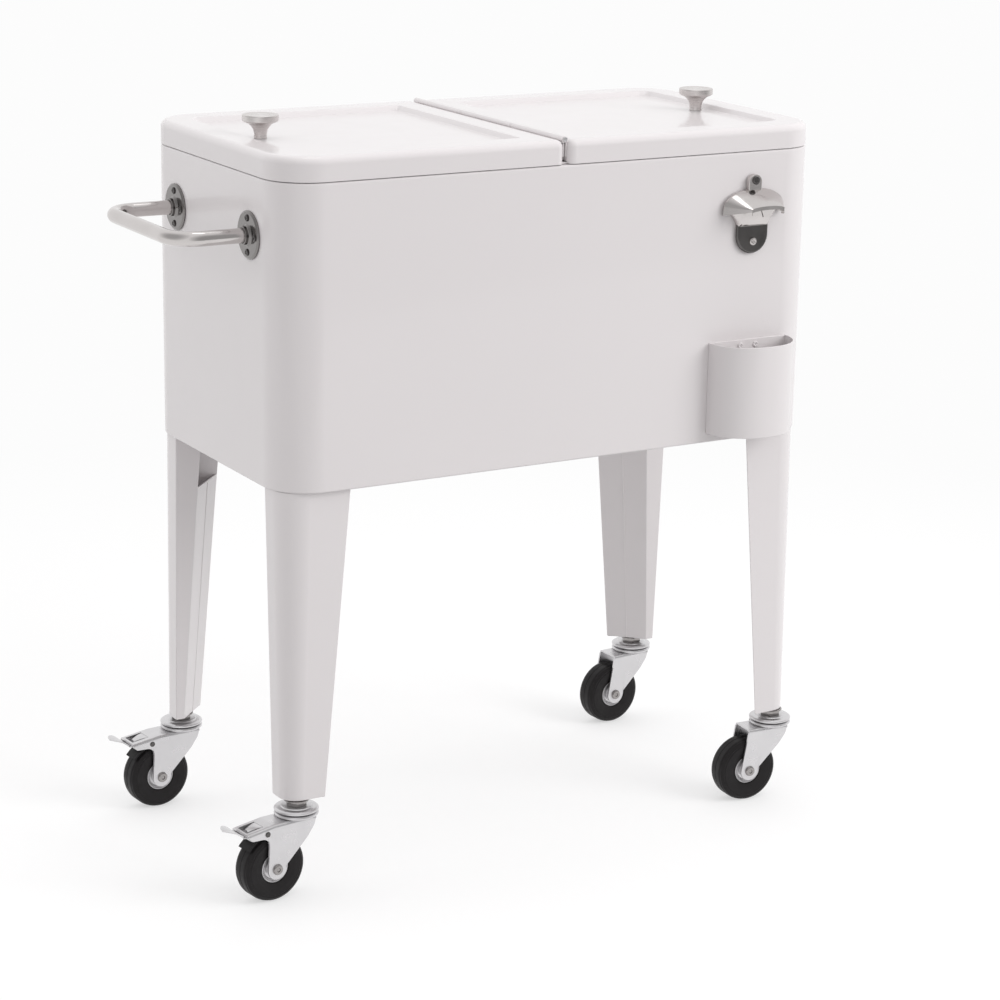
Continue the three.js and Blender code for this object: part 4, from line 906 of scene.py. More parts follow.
class COOLER_OT_opener(Operator):
    """The pressed bottle opener: plate, hood with its folded lip, rest and claw"""

    bl_idname = "cooler.opener"
    bl_label = "Bottle opener"

    def execute(self, context):
        low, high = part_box("bottle_opener")
        wall = high.y
        centre = (low.x + high.x) / 2
        self.place = Vector((centre, wall, low.z))
        plate, tab = self.plate()
        # The plate and its lower screw take the steel painted dark as their reflection and shade; the tab,
        # hood, rest, claw and upper screw take the plain polished steel.
        dark, bright = [plate], [tab, self.hood(), self.rest(), self.claw()]
        for group, height, thick in ((bright, 0.0135, 0.005), (dark, 0.080, 0.007)):
            spot = facing((centre, wall - thick + 0.0002, low.z + height), (0, -1, 0))
            group.append(turned_by(cross_screw(0.0044, 0.0026), spot))
        piece("opener_plate", dark, "plate", "tub", crease=40)
        piece("opener_pressing", bright, "steel", "tub", ["bottle_opener"], crease=40)
        return {"FINISHED"}

    def outward(self, shape):
        """Sets a shape drawn as (across, up, out) on the wall."""
        points, faces = shape
        x, y, z = self.place
        return np.stack([x + points[:, 0], y - points[:, 2], z + points[:, 1]], 1), faces

    def plate(self):
        """The thick plate with its round foot, and the tab above it, which stands out further."""
        half, tab, top, neck = 0.0202, 0.0085, 0.0865, 0.056
        foot = ring(half, 48, np.pi, 2 * np.pi, (0, half))
        head = ring(tab, 24, 0, np.pi, (0, top - tab))
        body = np.concatenate([foot, [(half, neck), (-half, neck)]])
        tongue = np.concatenate([[(-tab, neck), (tab, neck)], head])
        return self.outward(slab(body, 0, 0.005, 0.0022, 5)), self.outward(slab(tongue, 0, 0.007, 0.0012, 4))

    def hood(self):
        """Each section has two feet and the half ellipse (half cos a, crease + rise sin a) between them. All
        its sizes run evenly from the wall to the lip, which is folded down; the first rows swell from the
        wall by a quarter circle. The inner skin is one wall smaller."""
        angle = np.linspace(np.pi, 0, 49)
        wall, reach, back, face = 0.0024, 0.032, 0.0045, 0.004
        spans = ((0.039, 0.021), (0.040, 0.021), (0.044, 0.0506), (0.052, 0.053), (0.0195, 0.003))

        def section(out, away, inset, drop):
            half, foot, foot_height, crease, rise = (a + (b - a) * out for a, b in spans)
            thin = inset * (1 - drop / face)
            x = np.concatenate([[inset - foot], (half - inset) * np.cos(angle), [foot - inset]])
            up = np.concatenate([[foot_height], crease + (rise - thin) * np.sin(angle), [foot_height]]) - drop
            return np.column_stack([x, up, np.full(len(x), away)])

        def sheet(inset):
            far = reach - inset
            swell = np.linspace(0, np.pi / 2, 6)[:-1]
            rows = [section(0, back * (1 - np.cos(k)), inset + 0.005 * (1 - np.sin(k)), 0) for k in swell]
            rows += [section(out, back + (far - back) * out, inset, 0) for out in np.linspace(0, 1, 16)]
            return np.stack(rows + [section(1, far, inset, drop) for drop in np.linspace(0, face, 5)[1:]])

        outer, inner = sheet(0), sheet(wall)
        rows, columns = outer.shape[:2]
        both = np.concatenate([outer, inner[::-1]])
        points, faces = skin(both, close_rows=True, close_columns=False)
        for column in (0, columns - 1):
            ladder = np.arange(2 * rows) * columns + column
            faces += [[ladder[i], ladder[i + 1], ladder[-2 - i], ladder[-1 - i]] for i in range(rows - 1)]
        return self.outward((points, faces))

    def rest(self):
        """A scoop under the hood: the sizes of its level outlines follow a parabola through three levels, and
        each outline is sampled evenly and smoothed, which rounds its corners."""
        low, knee, high = np.array([
            (0.027, 0.018, 0.0205, 0.0, 0.0), (0.036, 0.018, 0.022, 0.010, 0.0045),
            (0.050, 0.016, 0.034, 0.013, 0.0045),
        ])
        count, smoothings, corner_shares = 41, 4, (0, 0.08, 0.25, 0.75, 0.92, 1)
        middle = 2 * knee - (low + high) / 2
        grid = []
        for t in np.linspace(0, 1, 18):
            height, half, wing, reach, side = (1 - t) ** 2 * low + 2 * t * (1 - t) * middle + t**2 * high
            across = np.interp(np.linspace(0, 1, count), corner_shares, (-wing, -wing, -half, half, wing, wing))
            out = np.interp(np.linspace(0, 1, count), corner_shares, (0, side, reach, reach, side, 0))
            line = np.column_stack([across, np.full(count, height), out])
            for _ in range(smoothings):
                line[1:-1] = (line[:-2] + 2 * line[1:-1] + line[2:]) / 4
            grid.append(line)
        return self.outward(solid(np.stack(grid)))

    def claw(self):
        """A tooth that narrows by t^0.8 and leans in under the lip."""
        t = np.linspace(0, 1, 8)[:, None]
        loop = eased([(-1, 0), (1, 0), (1, 1), (-1, 1)], 0.2, 3, closed=True)
        half, up, out, thick = 0.009 - 0.005 * t**0.8, 0.0528 - 0.0088 * t, 0.0318 - 0.002 * t, 0.003
        wide = half * loop[None, :, 0]
        return self.outward(solid(np.stack([wide, up + 0 * wide, out - thick * loop[None, :, 1]], -1)))


class COOLER_OT_catcher(Operator):
    """The bowed cap catcher, open at the top, screwed on through its back"""

    bl_idname = "cooler.catcher"
    bl_label = "Cap catcher"

    def execute(self, context):
        low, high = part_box("cap_catcher")
        half, reach = (high.x - low.x) / 2, high.y - low.y
        centre = (low.x + high.x) / 2
        angle = np.linspace(np.pi, 0, 73)
        across = np.sign(np.cos(angle)) * np.abs(np.cos(angle)) ** 0.9
        bow = np.column_stack([centre + half * across, high.y - reach * np.clip(np.sin(angle), 0, 1) ** 0.9])
        wall, edge, bend = 0.0014, 0.0004, 0.001
        rows = [
            (edge, low.z), (0, low.z + edge), (0, high.z - edge), (edge, high.z), (wall - edge, high.z),
            (wall, high.z - edge), (wall, low.z + wall + bend), (wall + bend, low.z + wall),
        ]
        sheet = solid(levels(bow, rows))
        piece("catcher_sheet", [sheet], "coat", "tub", ["cap_catcher"], crease=30)
        screws = []
        for side in (-1, 1):
            spot = facing((centre + side * 0.010, high.y - wall, high.z - 0.0065), (0, -1, 0))
            screws.append(turned_by(cross_screw(0.0034, 0.0016), spot))
        piece("catcher_screws", screws, "coat", "tub")
        return {"FINISHED"}


class COOLER_OT_legs(Operator):
    """The legs, each folded from sheet: a round outer corner, a return and a slanted inner plate"""

    bl_idname = "cooler.legs"
    bl_label = "Legs"

    def execute(self, context):
        for name in corner_names:
            self.corner = np.array([-1 if "left" in name else 1, -1 if "front" in name else 1])
            self.leg(f"leg_{name}")
        return {"FINISHED"}

    def plan(self, share, inset):
        """The leg's plan at a share of its height from the tub's middle, for the corner at +X and +Y, with
        its folds eased: every length runs evenly from the foot's to the top's."""
        fold = sizes().leg_fold

        def mix(foot, top):
            return foot + (top - foot) * share

        face_x = (tub_high.x - tub_low.x) / 2 - mix(0.0062, 0.005)
        face_y = (tub_high.y - tub_low.y) / 2 - 0.008
        long_end = face_x - mix(0.0458, 0.076)
        short_end = face_y - mix(0.035, 0.0475)
        fold_x = face_x - mix(0.010, 0.030)
        corners = [(face_x, short_end), (face_x, face_y), (long_end, face_y), (fold_x, short_end)]
        radii = [fold, mix(0.020, 0.030), fold / 2, fold]
        return offset_loop(eased(corners, radii, leg_steps, closed=True), inset)

    def leg(self, node):
        """The outside from the foot to the top and the inside back down, with a notch above the caster's
        stem."""
        low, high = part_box(node)
        sheet, ease = sizes().leg_sheet, 0.0006
        self.bottom, self.length = low.z, high.z - low.z
        notch = 0.062 / self.length
        outer = self.grid([(0, ease * 2), (0, ease), (ease / self.length, 0), (0.5, 0), (1 - notch, 0), (1, 0)])
        inner = self.grid([(share, sheet) for share in (1, 1 - notch, 0.5, 0.006)])
        outer[1, :, 2] += ease
        shape = self.open_notch(np.concatenate([outer, inner]), len(outer))
        piece(f"{node}_folded", [shape], "coat", "tub", [node], crease=30)
        self.seam(node, notch)

    def on_tub(self, loop, share):
        """Points of a plan set at their corner of the tub and at their height."""
        flat = [tub_middle.x, tub_middle.y] + self.corner * loop
        return np.column_stack([flat, np.full(len(loop), self.bottom + self.length * share)])

    def grid(self, rows):
        """Plans stacked up, with a (share of the height, inset) for each row."""
        return np.stack([self.on_tub(self.plan(share, inset), share) for share, inset in rows])

    def open_notch(self, grid, outer_rows):
        """Takes the slanted plate away above the notch and closes the sheet's cut edges."""
        columns = grid.shape[1]
        points, faces = solid(grid)
        below, top, inner_top, inner_below = range(outer_rows - 2, outer_rows + 2)
        start, end = slant_column, slant_column + 1

        def strip(one, other):
            """The face between two rows in the slanted plate's column."""
            return [one * columns + start, one * columns + end, other * columns + end, other * columns + start]

        gone = [sorted(strip(*pair)) for pair in ((below, top), (top, inner_top), (inner_top, inner_below))]
        kept = [face for face in faces if sorted(face) not in gone]
        kept.append(strip(below, inner_below))
        for column in (start, end):
            kept.append([row * columns + column for row in (below, top, inner_top, inner_below)])
        return points, kept

    def seam(self, node, notch):
        """The closed joint down the middle of the slanted plate, as a thin raised bead."""
        foot, head, proud, radius, sides = 0.004, 1 - notch - 0.002 / self.length, 0.00005, 0.0005, 8
        ends = []
        for share in (foot, head):
            plate = self.plan(share, -proud)[slant_column:slant_column + 2]
            ends.append(self.on_tub(plate.mean(0, keepdims=True), share))
        section = np.column_stack([ring(radius, sides), np.zeros(sides)])
        bead = solid(np.stack(ends) + section)
        piece(f"{node}_seam", [bead], "coat", "tub")


def caster_place(name):
    """The matrix that sets a caster drawn with its swivel on Z and its wheel towards +X, turned to where the
    wheel's axle is, and how far that axle lies behind the swivel."""
    swivel = Vector(joints[f"swivel_{name}"]["pos_m"])
    away = Vector(joints[f"spin_{name}"]["pos_m"]) - swivel
    turn = Matrix.Rotation(np.arctan2(away.y, away.x), 4, "Z")
    return Matrix.Translation((swivel.x, swivel.y, 0)) @ turn, away.xy.length


def braked(name):
    return "left" in name


class COOLER_OT_casters(Operator):
    """The swivel casters: races and stem nut, pressed fork, axle, hub and tyre"""

    bl_idname = "cooler.casters"
    bl_label = "Casters"
    bend_start, bend_end, bend_drop = 0.036, 0.0696, 0.0042  # where a braked fork's top dips to its pedal
    fork_half = 0.0156

    def execute(self, context):
        for name in corner_names:
            self.place, self.trail = caster_place(name)
            self.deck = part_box(f"caster_fork_{name}")[1].z - 0.0045
            self.stem(name)
            self.fork(name)
            self.axle(name)
            self.wheel(name)
        return {"FINISHED"}

    def put(self, name, shapes, look, body, replaced=(), crease=35.0):
        """A piece of the caster, set at its place."""
        shapes = [turned_by(shape, self.place) for shape in shapes]
        return piece(name, shapes, look, body, replaced, crease=crease)

    def stem(self, name):
        """The upper race with its rolled rim, the hexagon nut and washer on it, the stem that enters the leg
        and the stem's head under the fork."""
        d = self.deck
        race = turned([
            (0, d + 0.0051), (0.0215, d + 0.0051), (0.0236, d + 0.0060), (0.0238, d + 0.0078),
            (0.0216, d + 0.0092), (0.0170, d + 0.0096), (0.0160, d + 0.0105), (0, d + 0.0105),
        ], [0, 0.0012, 0.0012, 0.0012, 0.001, 0.0008, 0.0004, 0], 5, 84)
        nut = slab(ring(0.012, 6), d + 0.0104, d + 0.0160, 0.0009)
        washer = self.disc(0.0135, 0.0158, 0.0172, 0.0003, 48)
        stem = self.disc(0.005, 0.017, 0.0413, [0, 0, 0.001, 0], 32)
        head = self.disc(0.0085, -0.006, -0.003, [0, 0.001, 0.0003, 0], 36, 4)
        self.put(f"caster_nut_{name}", [nut, washer], "nut", "tub")
        self.put(f"caster_race_{name}", [race, stem, head], "zinc", "tub", [f"caster_stem_{name}"])

    def disc(self, radius, low, high, radii, sides, steps=3):
        """A round disc between two heights over the deck."""
        low, high = self.deck + low, self.deck + high
        return turned([(0, low), (radius, low), (radius, high), (0, high)], radii, steps, sides)

    def deck_height(self, name, x):
        """The height of the fork's top, which bends down towards a pedal."""
        share = (x - self.bend_start) / (self.bend_end - self.bend_start)
        return self.deck - self.bend_drop * np.clip(share, 0, 1) * braked(name)

    def cheek_lines(self, name, count):
        """The cheek's lower edge as it runs from the nose round the ear to the rear, and the points of the
        top fold above it, both as (x, z) with as many points each."""
        top, nose = self.deck, -0.015
        trail, ear, hub = self.trail, 0.0112, sizes().wheel_radius
        front = eased([
            (nose, top), (-0.0126, top - 0.0099), (-0.004, top - 0.0216), (trail - 0.011, hub + 0.0023),
        ], [0, 0.012, 0.02, 0], 6)
        round_ear = ring(ear, 26, np.radians(-192), 0.0, (trail, hub))
        if braked(name):
            end, waist = self.bend_end, trail + 0.0092
            rear = eased([
                (trail + ear, hub), (waist, top - 0.0262), (waist, top - 0.0131),
                (end - 0.0052, top - 0.0122), (end - 0.0012, top - 0.0082), (end, top - self.bend_drop),
            ], [0, 0.02, 0.0092, 0.003, 0.003, 0], 10)[1:]
        else:
            rear = np.array([(0.0359, top)])
        line = np.concatenate([front, round_ear, rear])
        steps = np.concatenate([[0], np.cumsum(np.linalg.norm(np.diff(line, axis=0), axis=1))])
        even = np.linspace(0, steps[-1], count)
        low = np.column_stack([np.interp(even, steps, line[:, k]) for k in (0, 1)])
        follow, least_cheek = 0.65, 0.0038
        crown = np.clip(np.maximum.accumulate(low[:, 0]), nose, line[-1, 0])
        crown = follow * crown + (1 - follow) * np.linspace(nose, line[-1, 0], count)
        height = self.deck_height(name, crown)
        low[:, 1] = np.minimum(low[:, 1], height - least_cheek)
        return low, np.column_stack([crown, height])

    def fork(self, name):
        """The fork is one bent sheet: each cheek is ruled from its lower edge up to the fold, which turns
        into the flat top. The inside is the same with its faces one sheet further in, and the two are
        joined round the rim. The braked fork's top has a window over the pedal."""
        low, crown = self.cheek_lines(name, 90)
        outside = self.bent_sheet(low, crown, 0.0)
        inside = self.bent_sheet(low, crown, sizes().fork_sheet)
        window = (0, 0, 0, 0)
        if braked(name):
            flat_columns = (19, 23)
            window = (*np.searchsorted(crown[:, 0], (0.0471, 0.0661)), *flat_columns)
        shape = self.hollowed(outside, inside, window)
        body = f"fork_{name}"
        made = self.put(f"caster_fork_{name}_pressed", [shape], "zinc", body, [f"caster_fork_{name}"])
        soften(made, 0.0003)
        d = self.deck
        shapes = [turned([
            (0, d - 0.001), (0.0150, d - 0.001), (0.0222, d + 0.0002), (0.0239, d + 0.0018),
            (0.0232, d + 0.0038), (0.0205, d + 0.0045), (0, d + 0.0045),
        ], [0, 0.001, 0.002, 0.0015, 0.001, 0.0005, 0], 5, 84)]
        if braked(name):
            shapes.append(self.tongue(name))
        self.put(f"caster_lower_race_{name}", shapes, "zinc", body)

    def bent_sheet(self, low, crown, inset):
        """Rows of points over the fork at one depth in its sheet: up a cheek, round the fold by
        (half - fold + r cos a, top - fold + r sin a), and across."""
        half, fold, cheek = self.fork_half, 0.0035, 12
        across = (-0.0115, -0.009, -0.0045, 0, 0.0045, 0.009, 0.0115)
        radius = fold - inset
        low_x, low_z, top_x, top_z = low[:, :1], low[:, 1:], crown[:, :1], crown[:, 1:]
        blend = np.linspace(0, 1, cheek)[None, :]
        cheek_x = low_x * (1 - blend) + top_x * blend
        cheek_z = low_z * (1 - blend) + (top_z - fold) * blend
        angle = np.linspace(0, np.pi / 2, 7)[None, 1:]
        bend_z = top_z - fold + radius * np.sin(angle)
        bend_y = half - fold + radius * np.cos(angle) + 0 * bend_z
        bend_x = np.broadcast_to(top_x, bend_z.shape)
        flat_y = np.broadcast_to(across, (len(low), len(across)))
        flat_z = np.broadcast_to(top_z - inset, flat_y.shape)
        wide = np.full(cheek_x.shape, half - inset)
        x = np.concatenate([cheek_x, bend_x, flat_y * 0 + top_x, bend_x, cheek_x[:, ::-1]], 1)
        y = np.concatenate([-wide, -bend_y, flat_y, bend_y[:, ::-1], wide], 1)
        z = np.concatenate([cheek_z, bend_z, flat_z, bend_z[:, ::-1], cheek_z[:, ::-1]], 1)
        return np.stack([x, y, z], -1)

    def hollowed(self, outside, inside, window):
        """Two grids joined round their rims, with a window of rows and columns left out of both and
        walled round."""
        rows, columns = outside.shape[:2]
        index = np.arange(rows * columns).reshape(rows, columns)
        r0, r1, c0, c1 = window
        keep = np.ones((rows - 1, columns - 1), bool)
        keep[r0:r1, c0:c1] = False
        quads = grid_faces(rows, columns, False, False)[keep.ravel()]
        other = quads[:, ::-1] + rows * columns
        rims = [self.border(index)]
        if r1 > r0:
            rims.append(self.border(index[r0:r1 + 1, c0:c1 + 1]))
        walls = []
        for rim in rims:
            after = np.roll(rim, -1)
            walls.append(np.stack([rim, after, after + rows * columns, rim + rows * columns], 1))
        points = np.concatenate([outside.reshape(-1, 3), inside.reshape(-1, 3)])
        return points, np.concatenate([quads, other, *walls]).tolist()

    def border(self, index):
        """The indices round the edge of a grid."""
        return np.concatenate([index[0, :-1], index[:-1, -1], index[-1, :0:-1], index[:0:-1, 0]])

    def tongue(self, name):
        """The pressed tongue that shows in the window: it narrows and domes towards its end."""
        t = np.linspace(0, 1, 14)[:, None]
        across = np.linspace(-1, 1, 9)[None, :]
        root, long, half, narrowing, thick = 0.0468, 0.016, 0.0082, 0.0045, 0.0012
        swell, dome, sunk = 0.0006, 0.0016, 0.0004
        x = root + long * t + 0 * across
        y = (half - narrowing * t) * across
        z = self.deck_height(name, x) + swell * np.sin(np.pi * t) - dome * across**2 * t - sunk
        return doubled(np.stack([x, y, z], -1), thick)

    def axle(self, name):
        """The bolt through the hub: a head outside each cheek, one with a hollow end."""
        ear, proud, head, shaft, hollow = self.fork_half, 0.0026, 0.006, 0.004, 0.0014
        end = ear + proud
        bolt = turned([
            (0, -end), (0.0052, -end), (head, -ear), (shaft, -ear), (shaft, ear), (head, ear),
            (0.0052, end), (0.0022, end), (0.0018, ear + hollow), (0, ear + hollow),
        ], [0, 0.0012, 0.0003, 0, 0, 0.0003, 0.0012, 0.0004, 0.0004, 0], 5, 40)
        bolt = sideways(bolt, self.trail, sizes().wheel_radius)
        self.put(f"caster_bolt_{name}", [bolt], "nut", f"fork_{name}", [f"caster_axle_{name}"])

    def wheel(self, name):
        """The tyre's section is a tread with a fine mould line and rounded shoulders over sides that
        dish in towards the hub, which is a pressed disc with a raised boss."""
        s = sizes()
        r, half, bead, rim, bore = s.wheel_radius, s.tyre_width / 2, 0.0163, 0.0161, 0.0044
        tyre = [
            (bead, half - 0.0024), (bead + 0.0012, half - 0.0014), (r - 0.0125, half - 0.0004),
            (r - 0.0064, half), (r - 0.0054, half - 0.0009), (r - 0.0044, half - 0.0003),
            (r - 0.0012, half - 0.0022), (r - 0.0008, half - 0.0042), (r - 0.0003, half - 0.0046),
            (r, half - 0.0062), (r, 0.0007), (r - 0.0004, 0.0004),
        ]
        hub = [
            (bore, 0.0128), (0.0062, 0.0128), (0.0085, 0.0118), (0.0088, 0.0085), (0.0118, 0.0078),
            (0.0142, 0.0088), (0.0152, 0.0105), (rim, 0.0108),
        ]
        for part, side, ease, sides, look, crease in (
            ("tyre", tyre, 0.0009, 120, "tyre", 50), ("hub", hub, 0.0006, 84, "zinc", 35),
        ):
            both = side + [(a, -b) for a, b in side[::-1]]
            shape = sideways(turned(both, ease, 4, sides, closed=True), self.trail, r)
            self.put(f"{part}_{name}", [shape], look, f"wheel_{name}", [f"caster_{part}_{name}"], crease)


class COOLER_OT_brakes(Operator):
    """The foot brakes of the casters at the handle's end: pedal, shoe and pin"""

    bl_idname = "cooler.brakes"
    bl_label = "Brakes"

    def execute(self, context):
        for name in corner_names:
            if braked(name):
                self.brake(name)
        return {"FINISHED"}

    def brake(self, name):
        """The pedal with its lever and the shoe turn about the pin, which stays in the fork."""
        place, trail = caster_place(name)
        pivot = place.inverted() @ Vector(joints[f"pedal_{name}"]["pos_m"])
        body = f"brake_{name}"
        shapes = [turned_by(shape, place) for shape in (self.pedal(pivot.z + 0.001), *self.lever(pivot))]
        piece(f"pedal_{name}", shapes, "zinc", body, [f"brake_pedal_{name}"], crease=40)
        shoe = turned_by(self.shoe(trail, sizes().wheel_radius), place)
        piece(f"shoe_{name}", [shoe], "shoe", body, [f"brake_shoe_{name}"])
        ear, head, shaft = 0.0157, 0.003, 0.002
        pin = turned([
            (0, -ear - 0.0011), (head, -ear - 0.0009), (head, -ear), (shaft, -ear), (shaft, ear),
            (head, ear), (head, ear + 0.0009), (0, ear + 0.0011),
        ], [0, 0.0008, 0.0002, 0, 0, 0.0002, 0.0008, 0], 4, 32)
        pin = turned_by(sideways(pin, pivot.x, pivot.z), place)
        # The pin takes the steel painted dark, which stands in for the shade on its heads.
        piece(f"pedal_pin_{name}", [pin], "plate", f"fork_{name}", [f"brake_pin_{name}"], "zinc")

    def pedal(self, foot):
        """A tongue that flares as it leaves the fork and closes in a round tip, and which curls up along its
        run: height = foot + rise * (1 - (1 - t)^2.4)."""
        t = np.linspace(0, 1, 36)[:, None]
        root, bend, tip, round_off = 0.0415, 0.0714, 0.0916, 0.0105
        x = root + (tip - root) * t
        beyond = np.clip((x - (tip - round_off)) / round_off, 0, 1)
        flare = np.interp(x, (0.0722, 0.0742, tip), (0.0108, 0.0142, round_off))
        half = flare * np.sqrt(np.clip(1 - beyond**2.4, 0.0009, 1))
        across = np.linspace(-1, 1, 13)[None, :]
        run = np.clip((x - bend) / (tip - bend), 0, 1)
        rise, dish = 0.0094, 0.0008
        z = foot + rise * (1 - (1 - run) ** 2.4) + dish * across**2 * run
        return doubled(np.stack([x + 0 * across, half * across, z], -1), 0.0016)

    def lever(self, pivot):
        """The sleeve on the pin and the carrier that holds the shoe."""
        x, z, inner, outer, half = pivot.x, pivot.z, 0.0024, 0.004, 0.0108
        sleeve = turned([
            (inner, -half), (outer, -half), (outer, half), (inner, half),
        ], 0.0004, 3, 32, closed=True)
        web = block((x - 0.0034, -0.0105, z - 0.001), (x + 0.0034, 0.0105, z + 0.001), 0.0004)
        carrier = block((0.0512, -0.0058, z - 0.0085), (0.0596, 0.0058, z - 0.0002), 0.0006)
        return sideways(sleeve, x, z), web, carrier

    def shoe(self, trail, hub):
        """A block that lies round the tread: its section is carried over an arc about the axle."""
        angle = np.radians(np.linspace(38, 61, 24))[:, None]
        inner, thick, half = hub + 0.0019, 0.0022, 0.0098
        loop = eased([(0, -half), (1, -half), (1, half), (0, half)], 0.0006, 3, closed=True)
        radius = inner + thick * loop[None, :, 0]
        grid = np.stack([
            trail + radius * np.cos(angle), loop[None, :, 1] + 0 * angle, hub + radius * np.sin(angle),
        ], -1)
        return solid(grid)


class COOLER_OT_stage(Operator):
    """The camera, the pale floor and the studio's light"""

    bl_idname = "cooler.stage"
    bl_label = "Stage"

    def execute(self, context):
        self.camera(context.scene)
        self.floor()
        self.world(context.scene)
        self.lights()
        context.scene.view_settings.view_transform = "Standard"
        return {"FINISHED"}

    def camera(self, scene):
        t = scene.cooler_stage
        data = bpy.data.cameras.new("Camera")
        data.lens, data.sensor_width = t.lens, 36
        data.clip_end = 50
        made = bpy.data.objects.new("Camera", data)
        bpy.context.collection.objects.link(made)
        azimuth, elevation, roll = (np.radians(a) for a in (t.azimuth, t.elevation, t.roll))
        look = Vector((
            np.sin(azimuth) * np.cos(elevation), np.cos(azimuth) * np.cos(elevation), -np.sin(elevation),
        ))
        turn = look.to_track_quat("-Z", "Y").to_matrix().to_4x4() @ Matrix.Rotation(roll, 4, "Z")
        spot = Vector((tub_middle.x + t.camera_x, tub_middle.y + t.camera_y, t.camera_z))
        made.matrix_world = Matrix.Translation(spot) @ turn
        scene.camera = made

    def floor(self):
        """A disc that stays pale for the camera and in reflections and takes the shadow. It ends in front of
        the cooler, reaches far behind it and fades to the backdrop's own white with the distance."""
        mesh = bpy.data.meshes.new("floor")
        reach, sides, centre = 8.0, 96, (tub_middle.x + 3, tub_middle.y + 5)
        points = np.column_stack([ring(reach, sides, centre=centre), np.zeros(sides)])
        mesh.from_pydata(points.tolist(), [], [list(range(sides))])
        floor = bpy.data.objects.new("floor", mesh)
        bpy.context.collection.objects.link(floor)
        material = bpy.data.materials.new("studio floor")
        material.use_nodes = True
        tree = material.node_tree
        tree.nodes.clear()
        seen = self.seen(tree)
        matt = add_node(tree, "BsdfDiffuse", {"Color": grey(0.5)}).outputs["BSDF"]
        lift = add_node(tree, "Math", {0: seen, 1: 0.52}, operation="MULTIPLY").outputs["Value"]
        glow = add_node(tree, "Emission", {"Color": grey(0.98), "Strength": lift}).outputs["Emission"]
        near = add_node(tree, "AddShader", {0: matt, 1: glow}).outputs["Shader"]
        spot = add_node(tree, "TexCoord").outputs["Object"]
        middle = (tub_middle.x, tub_middle.y, 0)
        away = add_node(tree, "VectorMath", {0: spot, 1: middle}, operation="DISTANCE").outputs["Value"]
        fade = add_node(tree, "MapRange", {"Value": away, "From Min": 0.5, "From Max": 1.7}).outputs["Result"]
        level = add_node(tree, "MapRange", {"Value": seen, "To Min": 0.4}).outputs["Result"]
        far = add_node(tree, "Emission", {"Color": grey(backdrop_white), "Strength": level}).outputs["Emission"]
        whole = add_node(tree, "MixShader", {"Fac": fade, 1: near, 2: far}).outputs["Shader"]
        add_node(tree, "OutputMaterial", {"Surface": whole})
        mesh.materials.append(material)

    def seen(self, tree):
        """One for a ray that shows the background: from the camera, a reflection or through a clear piece."""
        path = add_node(tree, "LightPath").outputs
        seen = path["Is Camera Ray"]
        for kind in ("Is Glossy Ray", "Is Transmission Ray"):
            seen = add_node(tree, "Math", {0: seen, 1: path[kind]}, operation="MAXIMUM").outputs["Value"]
        return seen

    def world(self, scene):
        """White to the camera and in reflections, but for the room behind the camera and on the left, which
        is greyer; on the object a soft light that is weaker from the front left, as if a wall stood there."""
        world = bpy.data.worlds.new("studio")
        scene.world = world
        world.use_nodes = True
        tree = world.node_tree
        tree.nodes.clear()
        room = self.wall(tree, (0.42, -0.9, 0.1), 0.5, 0.9, 1.0, 0.42)
        side = self.wall(tree, (-0.88, 0.0, 0.48), 0.6, 0.95, 1.0, 0.5)
        darker = add_node(tree, "Math", {0: room, 1: side}, operation="MINIMUM").outputs["Value"]
        camera = add_node(tree, "LightPath").outputs["Is Camera Ray"]
        white = add_node(tree, "Math", {0: darker, 1: camera}, operation="MAXIMUM").outputs["Value"]
        plain = add_node(tree, "Background", {"Color": grey(backdrop_white), "Strength": white})
        sky = scene.cooler_stage.sky
        dim = self.wall(tree, (-0.7, -0.7, -0.14), 0.0, 0.95, sky, sky * 0.68)
        soft = add_node(tree, "Background", {"Color": (1, 0.992, 0.995, 1), "Strength": dim})
        pick = add_node(tree, "MixShader", {
            "Fac": self.seen(tree), 1: soft.outputs["Background"], 2: plain.outputs["Background"],
        })
        add_node(tree, "OutputWorld", {"Surface": pick.outputs["Shader"]})

    def wall(self, tree, towards, begin, end, open_side, dark_side):
        """A strength that goes from one value to another as a ray turns towards a direction."""
        way = add_node(tree, "TexCoord").outputs["Generated"]
        turned = add_node(tree, "VectorMath", {0: way, 1: towards}, operation="DOT_PRODUCT")
        return add_node(tree, "MapRange", {
            "Value": turned.outputs["Value"], "From Min": begin, "From Max": end,
            "To Min": open_side, "To Max": dark_side,
        }).outputs["Result"]

    def lights(self):
        """Soft boxes: a small one above, one from the right and one behind on the left, the two large ones
        hidden from reflections."""
        self.box_light("overhead", (0.1, 0.2, 2.6), (0, 0, 0.6), 0.6, 2, True)
        self.box_light("right", (2.2, -2.4, 2.0), (0.1, 0, 0.65), 1.8, 44, False)
        self.box_light("left", (-2.8, 0.9, 1.4), (0, 0, 0.5), 1.6, 8, False)

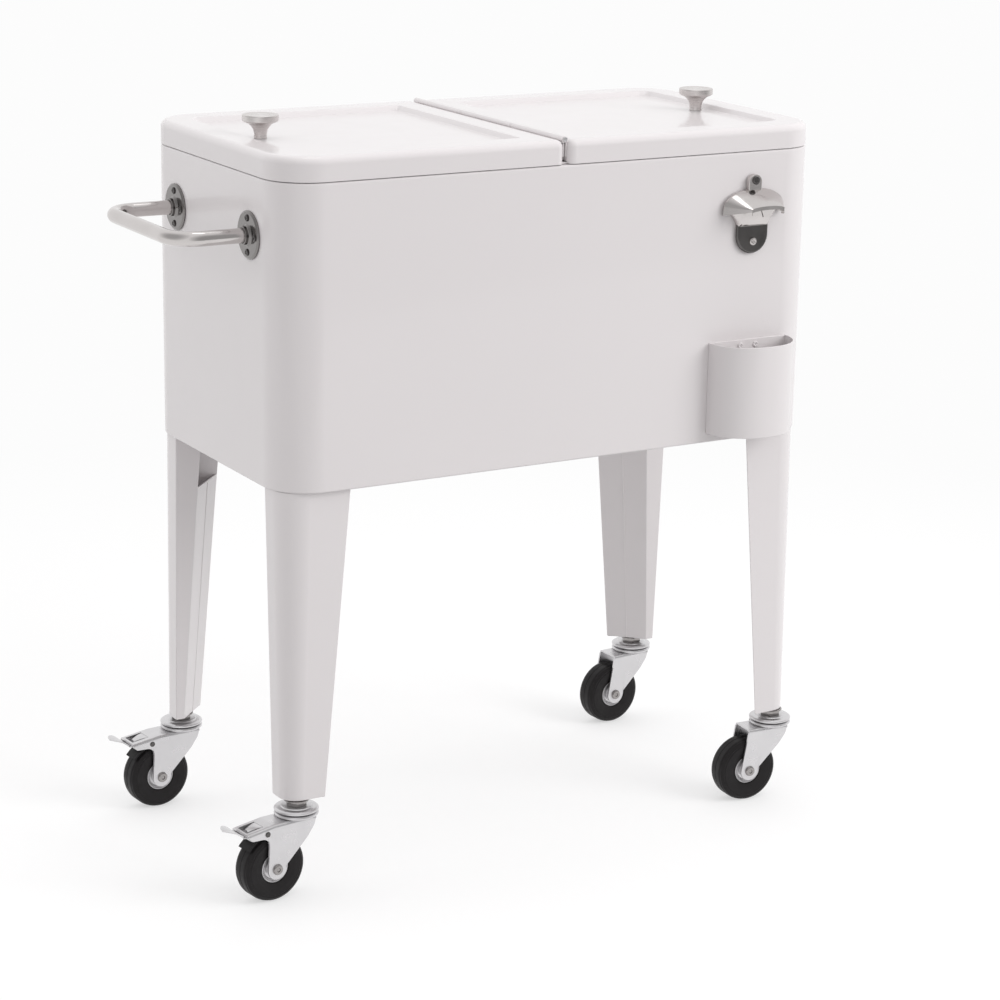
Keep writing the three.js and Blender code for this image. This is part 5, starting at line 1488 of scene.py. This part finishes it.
    def box_light(self, name, spot, aim, side, power, reflected):
        """A square light at a spot over the tub's middle on the floor, turned to its aim."""
        data = bpy.data.lights.new(name, "AREA")
        data.shape = "SQUARE"
        data.size = side
        data.energy = power
        made = bpy.data.objects.new(name, data)
        bpy.context.collection.objects.link(made)
        middle = Vector((tub_middle.x, tub_middle.y, 0))
        place = middle + Vector(spot)
        look = (middle + Vector(aim) - place).to_track_quat("-Z", "Y")
        made.matrix_world = Matrix.Translation(place) @ look.to_matrix().to_4x4()
        made.visible_glossy = reflected


piece_operators = (
    COOLER_OT_tub, COOLER_OT_liner, COOLER_OT_drain, COOLER_OT_hinge, COOLER_OT_lids, COOLER_OT_knobs,
    COOLER_OT_handle, COOLER_OT_opener, COOLER_OT_catcher, COOLER_OT_legs, COOLER_OT_casters,
    COOLER_OT_brakes, COOLER_OT_stage,
)


class COOLER_PT_panel(Panel):
    """The sidebar's list of pieces"""

    bl_label = "Cooler"
    bl_idname = "COOLER_PT_panel"
    bl_space_type = "VIEW_3D"
    bl_region_type = "UI"
    bl_category = "Cooler"

    def draw(self, context):
        for operator in piece_operators:
            self.layout.operator(operator.bl_idname)


groups = (("cooler_sizes", CoolerSizes), ("cooler_colours", CoolerColours), ("cooler_stage", CoolerStage))


def register():
    for name, group in groups:
        bpy.utils.register_class(group)
        setattr(bpy.types.Scene, name, PointerProperty(type=group))
    for made in (*piece_operators, COOLER_PT_panel):
        bpy.utils.register_class(made)


def unregister():
    for made in (COOLER_PT_panel, *piece_operators[::-1]):
        bpy.utils.unregister_class(made)
    for name, group in groups[::-1]:
        delattr(bpy.types.Scene, name)
        bpy.utils.unregister_class(group)


def main():
    register()
    bpy.ops.cooler.tub()
    bpy.ops.cooler.liner()
    bpy.ops.cooler.drain()
    bpy.ops.cooler.hinge()
    bpy.ops.cooler.lids()
    bpy.ops.cooler.knobs()
    bpy.ops.cooler.handle()
    bpy.ops.cooler.opener()
    bpy.ops.cooler.catcher()
    bpy.ops.cooler.legs()
    bpy.ops.cooler.casters()
    bpy.ops.cooler.brakes()
    bpy.ops.cooler.stage()


if __name__ == "__main__":
    main()
